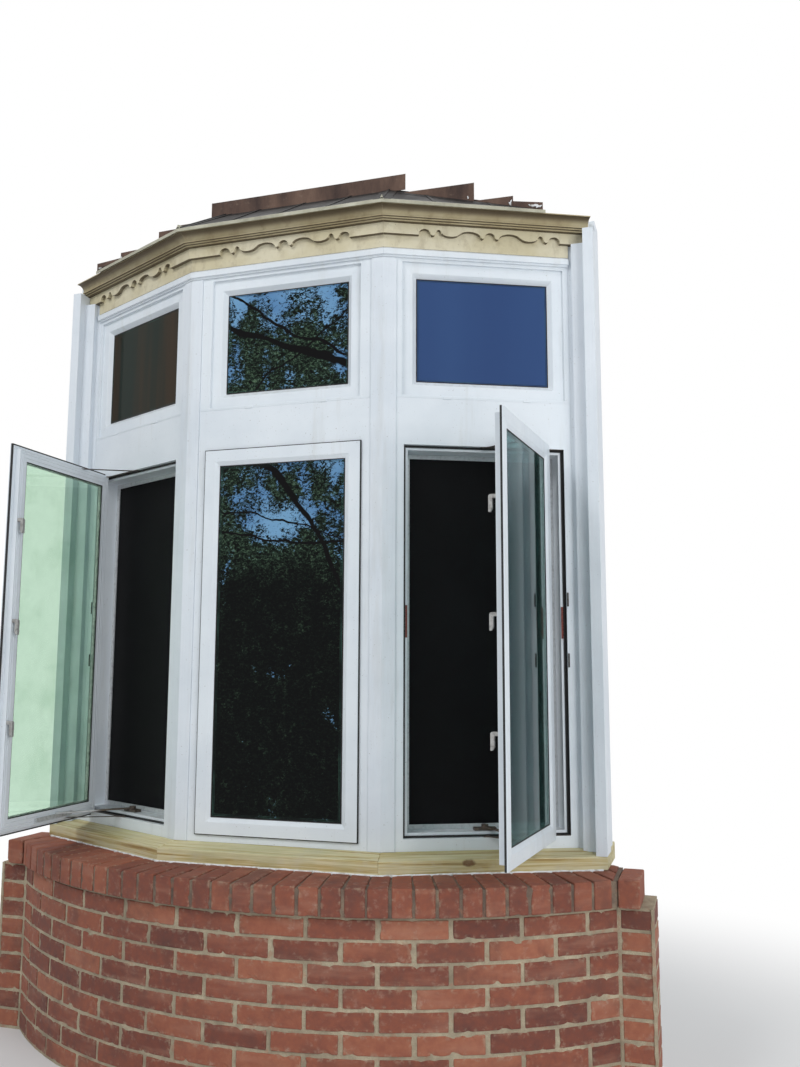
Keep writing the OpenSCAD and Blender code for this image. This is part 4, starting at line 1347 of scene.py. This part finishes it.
# Leaves of the flashing on each side: inner end, outer end, and how far the top lies below the apex
LEAVES = {
    -1: ((0.396, 0.556, 0.013, 0.015), (0.545, 0.640, 0.027, 0.030),
         (0.675, 0.815, 0.088, 0.096), (0.803, 0.926, 0.116, 0.129)),
    0: ((-0.402, 0.408, -0.0565, -0.0565),),
    1: ((0.404, 0.671, 0.016, 0.019), (0.674, 0.815, 0.089, 0.091), (0.804, 0.922, 0.109, 0.131)),
}


def flashing_leaves(material):
    """Stepped sheets up the house wall, each lapped over the next one out."""
    build = Builder()
    for side, leaves in LEAVES.items():
        for n, (inner, outer, drop_in, drop_out) in enumerate(leaves):
            front = FLASHING_BACK - 0.0030 + 0.0005 * n + (0.0004 if side else 0)
            count = max(4, round((outer - inner) / 0.03))
            spans = [inner + (outer - inner) * k / count for k in range(count + 1)]
            floor = -math.inf if side else APEX_Z - 0.006
            lower = [max(wall_line(x) - 0.001, floor) for x in spans]
            upper = [APEX_Z - drop_in - (drop_out - drop_in) * k / count for k in range(count + 1)]
            sign = side or 1
            outline = list(zip(spans, lower)) + list(zip(spans[::-1], upper[::-1]))
            shapes = [(outline, 0.0011)]
            for k, x in ((0, inner), (-1, outer - 0.0035))[1 if side else 0:]:
                hem = [(x, lower[k]), (x + 0.0035, lower[k]), (x + 0.0035, upper[k]), (x, upper[k])]
                shapes.append((hem, -0.0009))
            for shape, thick in shapes:
                corners = [Vector((sign * x, front, z)) for x, z in shape]
                add_prism(build, corners, Vector((0, thick, 0)))
    build.piece("flashing_leaves", material, ["step_flashing"])


def flashing_apron(material):
    """Strip on the roof along the wall, turned up behind the leaves; its near-black colour is painted
    shade under the leaves' lower edges.
    """
    build = Builder()
    edge_v = WALL_V - 0.045
    hip_back, hip_front = HALF_CENTRE - WALL_V * MITRE, HALF_CENTRE - edge_v * MITRE
    reach = HALF_CENTRE + (edge_v * BAY_COS - EAVE_V) / BAY_SIN
    for side in SIDES:
        if side == 0:
            plan = [(-hip_back, WALL_V), (-hip_front, edge_v), (hip_front, edge_v), (hip_back, WALL_V)]
        else:
            plan = [(hip_back, WALL_V), (hip_front, edge_v), (reach, edge_v), (0.925, WALL_V)]
        corners = []
        for x, deep in plan:
            v = deep * BAY_COS - (x - HALF_CENTRE) * BAY_SIN if side else deep
            corners.append(Vector(((side or 1) * x, FACE_Y + deep, roof_z(v) - 0.0003)))
        add_prism(build, corners, up(0.0017))
    spans = [-0.92 + 1.84 * n / 60 for n in range(61)]
    corners = []
    for row, lift in ((spans, -0.002), (spans[::-1], 0.007)):
        corners += [Vector((x, FLASHING_BACK - 0.0012, wall_line(x) + lift)) for x in row]
    add_prism(build, corners, Vector((0, 0.0010, 0)))
    build.piece("flashing_apron", material, ["step_flashing"])


def flashing_sealant(material):
    """Lumps and smears of sealant where the flashing leaves overlap."""
    build = Builder()
    rng = random.Random(3)
    for x, lift, size, turn in LUMPS:
        points, faces = block_surface((size * 3.2, size * 0.7, size * 1.2), size * 0.34, (4, 2, 3))
        seed = Vector((rng.uniform(0, 50), 0, 0))
        rolled = Matrix.Rotation(math.radians(turn), 3, "Y")
        spot = Vector((x, FLASHING_BACK - 0.0040, wall_line(x) + lift))
        moved = [spot + rolled @ (p * (1 + 0.6 * noise.noise(p * 190 + seed))) for p in points]
        build.add(moved, faces)
    build.piece("flashing_sealant", material, smooth=True)


def wall_blocks(material):
    """Concrete blocks in running bond, which face the inside of the wall under the windows."""
    build = Builder()
    rng = random.Random(7)
    back_v = 0.145
    pitch_u, pitch_z, joint = 0.400, 0.200, 0.010
    fold_u = back_v * MITRE
    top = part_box("backing_wall")[1].z
    for side in SIDES:
        first, last = (fold_u - HALF_CENTRE, HALF_CENTRE - fold_u) if side == 0 else (fold_u, 0.738)
        for course in range(4):
            z0 = course * pitch_z + joint / 2
            z1 = min(z0 + pitch_z - joint, top - 0.003)
            u = first - pitch_u * (0.5 if course % 2 else 0)
            while u < last - 0.03:
                u0, u1 = max(first + 0.003, u + joint / 2), min(last - 0.003, u + pitch_u - joint / 2)
                u += pitch_u
                if u1 - u0 < 0.03:
                    continue
                size = (u1 - u0, 0.009, z1 - z0)
                points, faces, rims = worn_block(size, 0.0025, (10, 1, 6), rng.uniform(0, 90), 0.8)
                u_mid, v_mid, z_mid = (u0 + u1) / 2, back_v - 0.0010, (z0 + z1) / 2
                moved = [facet_point(side, u_mid + p.x, v_mid + p.y, z_mid + p.z) for p in points]
                build.add(moved, faces, rng.random(), rims)
    build.piece("wall_blocks", material)


# Stage, lights and camera

def add_floor():
    """Plain pale floor under the bay, which fades to white further off."""
    s = Shader("floor")
    cloud = s.noise(0.8, 3)
    s.set(Base_Color=s.stain((0.80, 0.80, 0.80, 1), (0.77, 0.77, 0.77, 1), cloud, 0.3, 0.7))
    s.set(Roughness=0.9)
    away = s.band(s.vector("DISTANCE", s.place, (0, 0.2, 0))["Value"], 1.6, 3.4)
    s.join(s.math("MULTIPLY", s.seen(), away), s.skin.outputs[0], s.node("Emission")[0])
    mesh = bpy.data.meshes.new("floor")
    reach = 60
    corners = [(-reach, -reach, 0), (reach, -reach, 0), (reach, reach, 0), (-reach, reach, 0)]
    mesh.from_pydata(corners, [], [[0, 1, 2, 3]])
    mesh.materials.append(s.material)
    floor = bpy.data.objects.new("floor", mesh)
    bpy.context.scene.collection.objects.link(floor)


def add_world():
    """Soft even light, with a white background for what the camera, gloss and glass see."""
    world = bpy.data.worlds.new("studio")
    bpy.context.scene.world = world
    tree = Tree(world, "World")
    light = tree.node("Background", {"Color": (0.94, 0.97, 1.0, 1), "Strength": WORLD_LIGHT})
    white = tree.node("Background", {"Color": (1, 1, 1, 1), "Strength": 1.0})
    tree.join(tree.seen(), light[0], white[0])


def add_lamp(name, place, aim, size, power, colour=(1, 1, 1)):
    data = bpy.data.lights.new(name, "AREA")
    data.size = size
    data.energy = power
    data.color = colour
    lamp = bpy.data.objects.new(name, data)
    lamp.location = place
    lamp.visible_glossy = False
    lamp.rotation_euler = (Vector(aim) - Vector(place)).to_track_quat("-Z", "Y").to_euler()
    bpy.context.scene.collection.objects.link(lamp)


def add_lights():
    """A large soft key from the front left, a fill from the right and one light behind."""
    add_lamp("key", (-2.2, -4.4, 6.6), (0, 0.1, 1.5), 2.2, 175)
    add_lamp("fill", (4.6, -3.0, 2.6), (0.0, 0.2, 1.4), 3.0, 120)
    add_lamp("back", (1.5, 5.5, 4.8), (0, 0.4, 1.5), 3.5, 130)


def add_camera():
    """Camera at the photograph's place and angle."""
    data = bpy.data.cameras.new("camera")
    data.sensor_width = CAMERA_SENSOR
    data.lens = CAMERA_LENS
    ahead = Vector((
        -math.sin(CAMERA_YAW) * math.cos(CAMERA_PITCH),
        math.cos(CAMERA_YAW) * math.cos(CAMERA_PITCH),
        math.sin(CAMERA_PITCH),
    ))
    level = Vector((math.cos(CAMERA_YAW), math.sin(CAMERA_YAW), 0))
    upright = level.cross(ahead)
    right = level * math.cos(CAMERA_ROLL) + upright * math.sin(CAMERA_ROLL)
    up = upright * math.cos(CAMERA_ROLL) - level * math.sin(CAMERA_ROLL)
    turn = Matrix((right, up, -ahead)).transposed().to_4x4()
    camera = bpy.data.objects.new("camera", data)
    camera.matrix_world = Matrix.Translation(CAMERA_PLACE) @ turn
    bpy.context.scene.collection.objects.link(camera)
    bpy.context.scene.camera = camera


def dress(nodes, material, arris=0.0):
    """Gives CAD nodes a material and, where asked, eased arrises."""
    for node in nodes:
        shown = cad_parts[node]
        for slot in shown.material_slots:
            slot.material = material
        if arris:
            weld = shown.modifiers.new("weld", "WELD")
            weld.merge_threshold = 0.00002
            flat = shown.modifiers.new("flat", "DECIMATE")
            flat.decimate_type = "DISSOLVE"
            flat.angle_limit = math.radians(0.5)
            ease = shown.modifiers.new("arris", "BEVEL")
            ease.width = arris
            ease.segments = 2
            ease.limit_method = "ANGLE"
            ease.angle_limit = math.radians(28)


def named(stem, sides=SIDES):
    return [stem + "_" + SIDES[side] for side in sides]


def dress_frame():
    """Materials and arrises of the CAD nodes that stay."""
    both = (-1, 1)
    vinyl = vinyl_material()
    board = board_material()
    dress(named("window_frame"), vinyl, 0.0012)
    dress(named("casement_sash"), vinyl, 0.0012)
    dress(["drip_strip"], vinyl, 0.0010)
    dress(named("corner_post", both), board, 0.0015)
    dress(named("jamb_casing", both), board, 0.0020)
    for side in SIDES:
        dress(["timber_sill_" + SIDES[side]], timber_material(side), 0.0025)
        # The crown's paint is a darker copy of the boards' cream: painted shade
        crown = cornice_material("shaded_crown_paint", side, (186, 175, 143), (166, 153, 119), 0.5)
        dress(["crown_" + SIDES[side]], crown, 0.0008)
        cream = cornice_material("board_paint", side, (214, 207, 182), (200, 191, 160), 0.34)
        dress(["scalloped_trim_" + SIDES[side]], cream, 0.0010)
        if side == 0:
            dress(["frieze_board"], cream, 0.0008)
    # The central panes carry a painted reflection of foliage, sky and boughs
    lower = reflection_painted_glass_material("glass_centre", 1.60, 1.88, 0.17, LOW_REFLECTED_BOUGHS)
    dress(["casement_glass_centre"], lower)
    upper = reflection_painted_glass_material("glass_upper", 2.2, 2.4, 0.15, HIGH_REFLECTED_BOUGHS)
    dress(["transom_glass_centre"], upper)
    # Side transoms: the dark tones are painted shade of the room, and the right one's blue is a painted
    # reflection of the sky
    brown = shade_and_reflection_glass_material("glass_left", (26, 38, 32), (54, 42, 28), 6, 0.07)
    dress(["transom_glass_left"], brown)
    blue = shade_and_reflection_glass_material("glass_right", (44, 70, 116), (50, 78, 124), 2, 0.16)
    dress(["transom_glass_right"], blue)
    dress(named("screen_frame", both), screen_frame_material(), 0.0008)
    dress(named("screen_mesh", both), screen_mesh_material())
    dress(named("hinge_arms", both), hardware_material("dull_steel", (92, 84, 76), (56, 53, 50), 0.6))
    cast = hardware_material("grey_casting", (172, 172, 170), (128, 127, 125), 0.2)
    dress(named("lock_keepers", both), cast, 0.0010)
    plated = hardware_material("plated_steel", (200, 203, 204), (164, 166, 166), 0.25)
    dress(named("operator", both), operator_material(), 0.0008)
    # Painted shade: the roof sheet, its hip caps and seams, and the flashing apron are near black
    roof = sheet_material("shade_black_metal", (16, 16, 16), (24, 23, 23), (36, 34, 34), (58, 55, 52))
    dress(["metal_roof"], roof, 0.0010)
    dress(["head_beam"], beam_material(), 0.0015)
    inside = inside_paint_material()
    dress(["window_board", "bay_ceiling"], inside, 0.0015)
    return vinyl, plated, roof, sealant_material()


def main():
    vinyl, plated, roof, sealant = dress_frame()
    brick = brick_material()
    mortar = mortar_material("mortar", (138, 127, 108), (168, 156, 134), (196, 184, 158))
    # The sill course's mortar is a darker copy of the wall's mortar
    darker_cap_mortar = mortar_material("cap_mortar", (92, 80, 72), (116, 100, 88), (150, 134, 114))
    dress(["backing_wall"], mortar)
    wall_blocks(block_material())
    roof_hips(roof)
    roof_seams(roof)
    pale = ((150, 148, 132), (176, 174, 156), (194, 192, 176), (206, 203, 188))
    drip_edge(sheet_material("pale_metal", *pale))
    brown = ((60, 46, 42), (92, 73, 64), (116, 94, 82), (138, 120, 106))
    flashing_leaves(sheet_material("brown_metal", *brown))
    flashing_apron(roof)
    flashing_sealant(sealant)
    base_bricks(brick)
    base_mortar(mortar)
    edge_pointing(mortar)
    cap_bricks(brick)
    cap_mortar(darker_cap_mortar)
    rubber = gasket_material()
    sill_sealant(sealant)
    frame_gaskets(rubber)
    sash_gaskets(rubber)
    pane_spacers(plated)
    clear_panes(clear_glass_material("glass_greenish", (228, 244, 232), (218, 236, 222)), -1)
    # The right sash's panes are tinted darker teal than the left ones: painted shade
    clear_panes(clear_glass_material("glass_teal", (170, 200, 196), (162, 192, 189)), 1)
    weld_lines(vinyl)
    glazing_beads(vinyl)
    unit_joints(vinyl)
    lock_strikes(strike_material())
    jamb_clips(hardware_material("dark_clip", (74, 72, 70), (46, 45, 44), 0.3))
    glass_edges(edge_glass_material())
    add_floor()
    add_world()
    add_lights()
    add_camera()


main()
bpy.context.scene.view_settings.view_transform = "Standard"
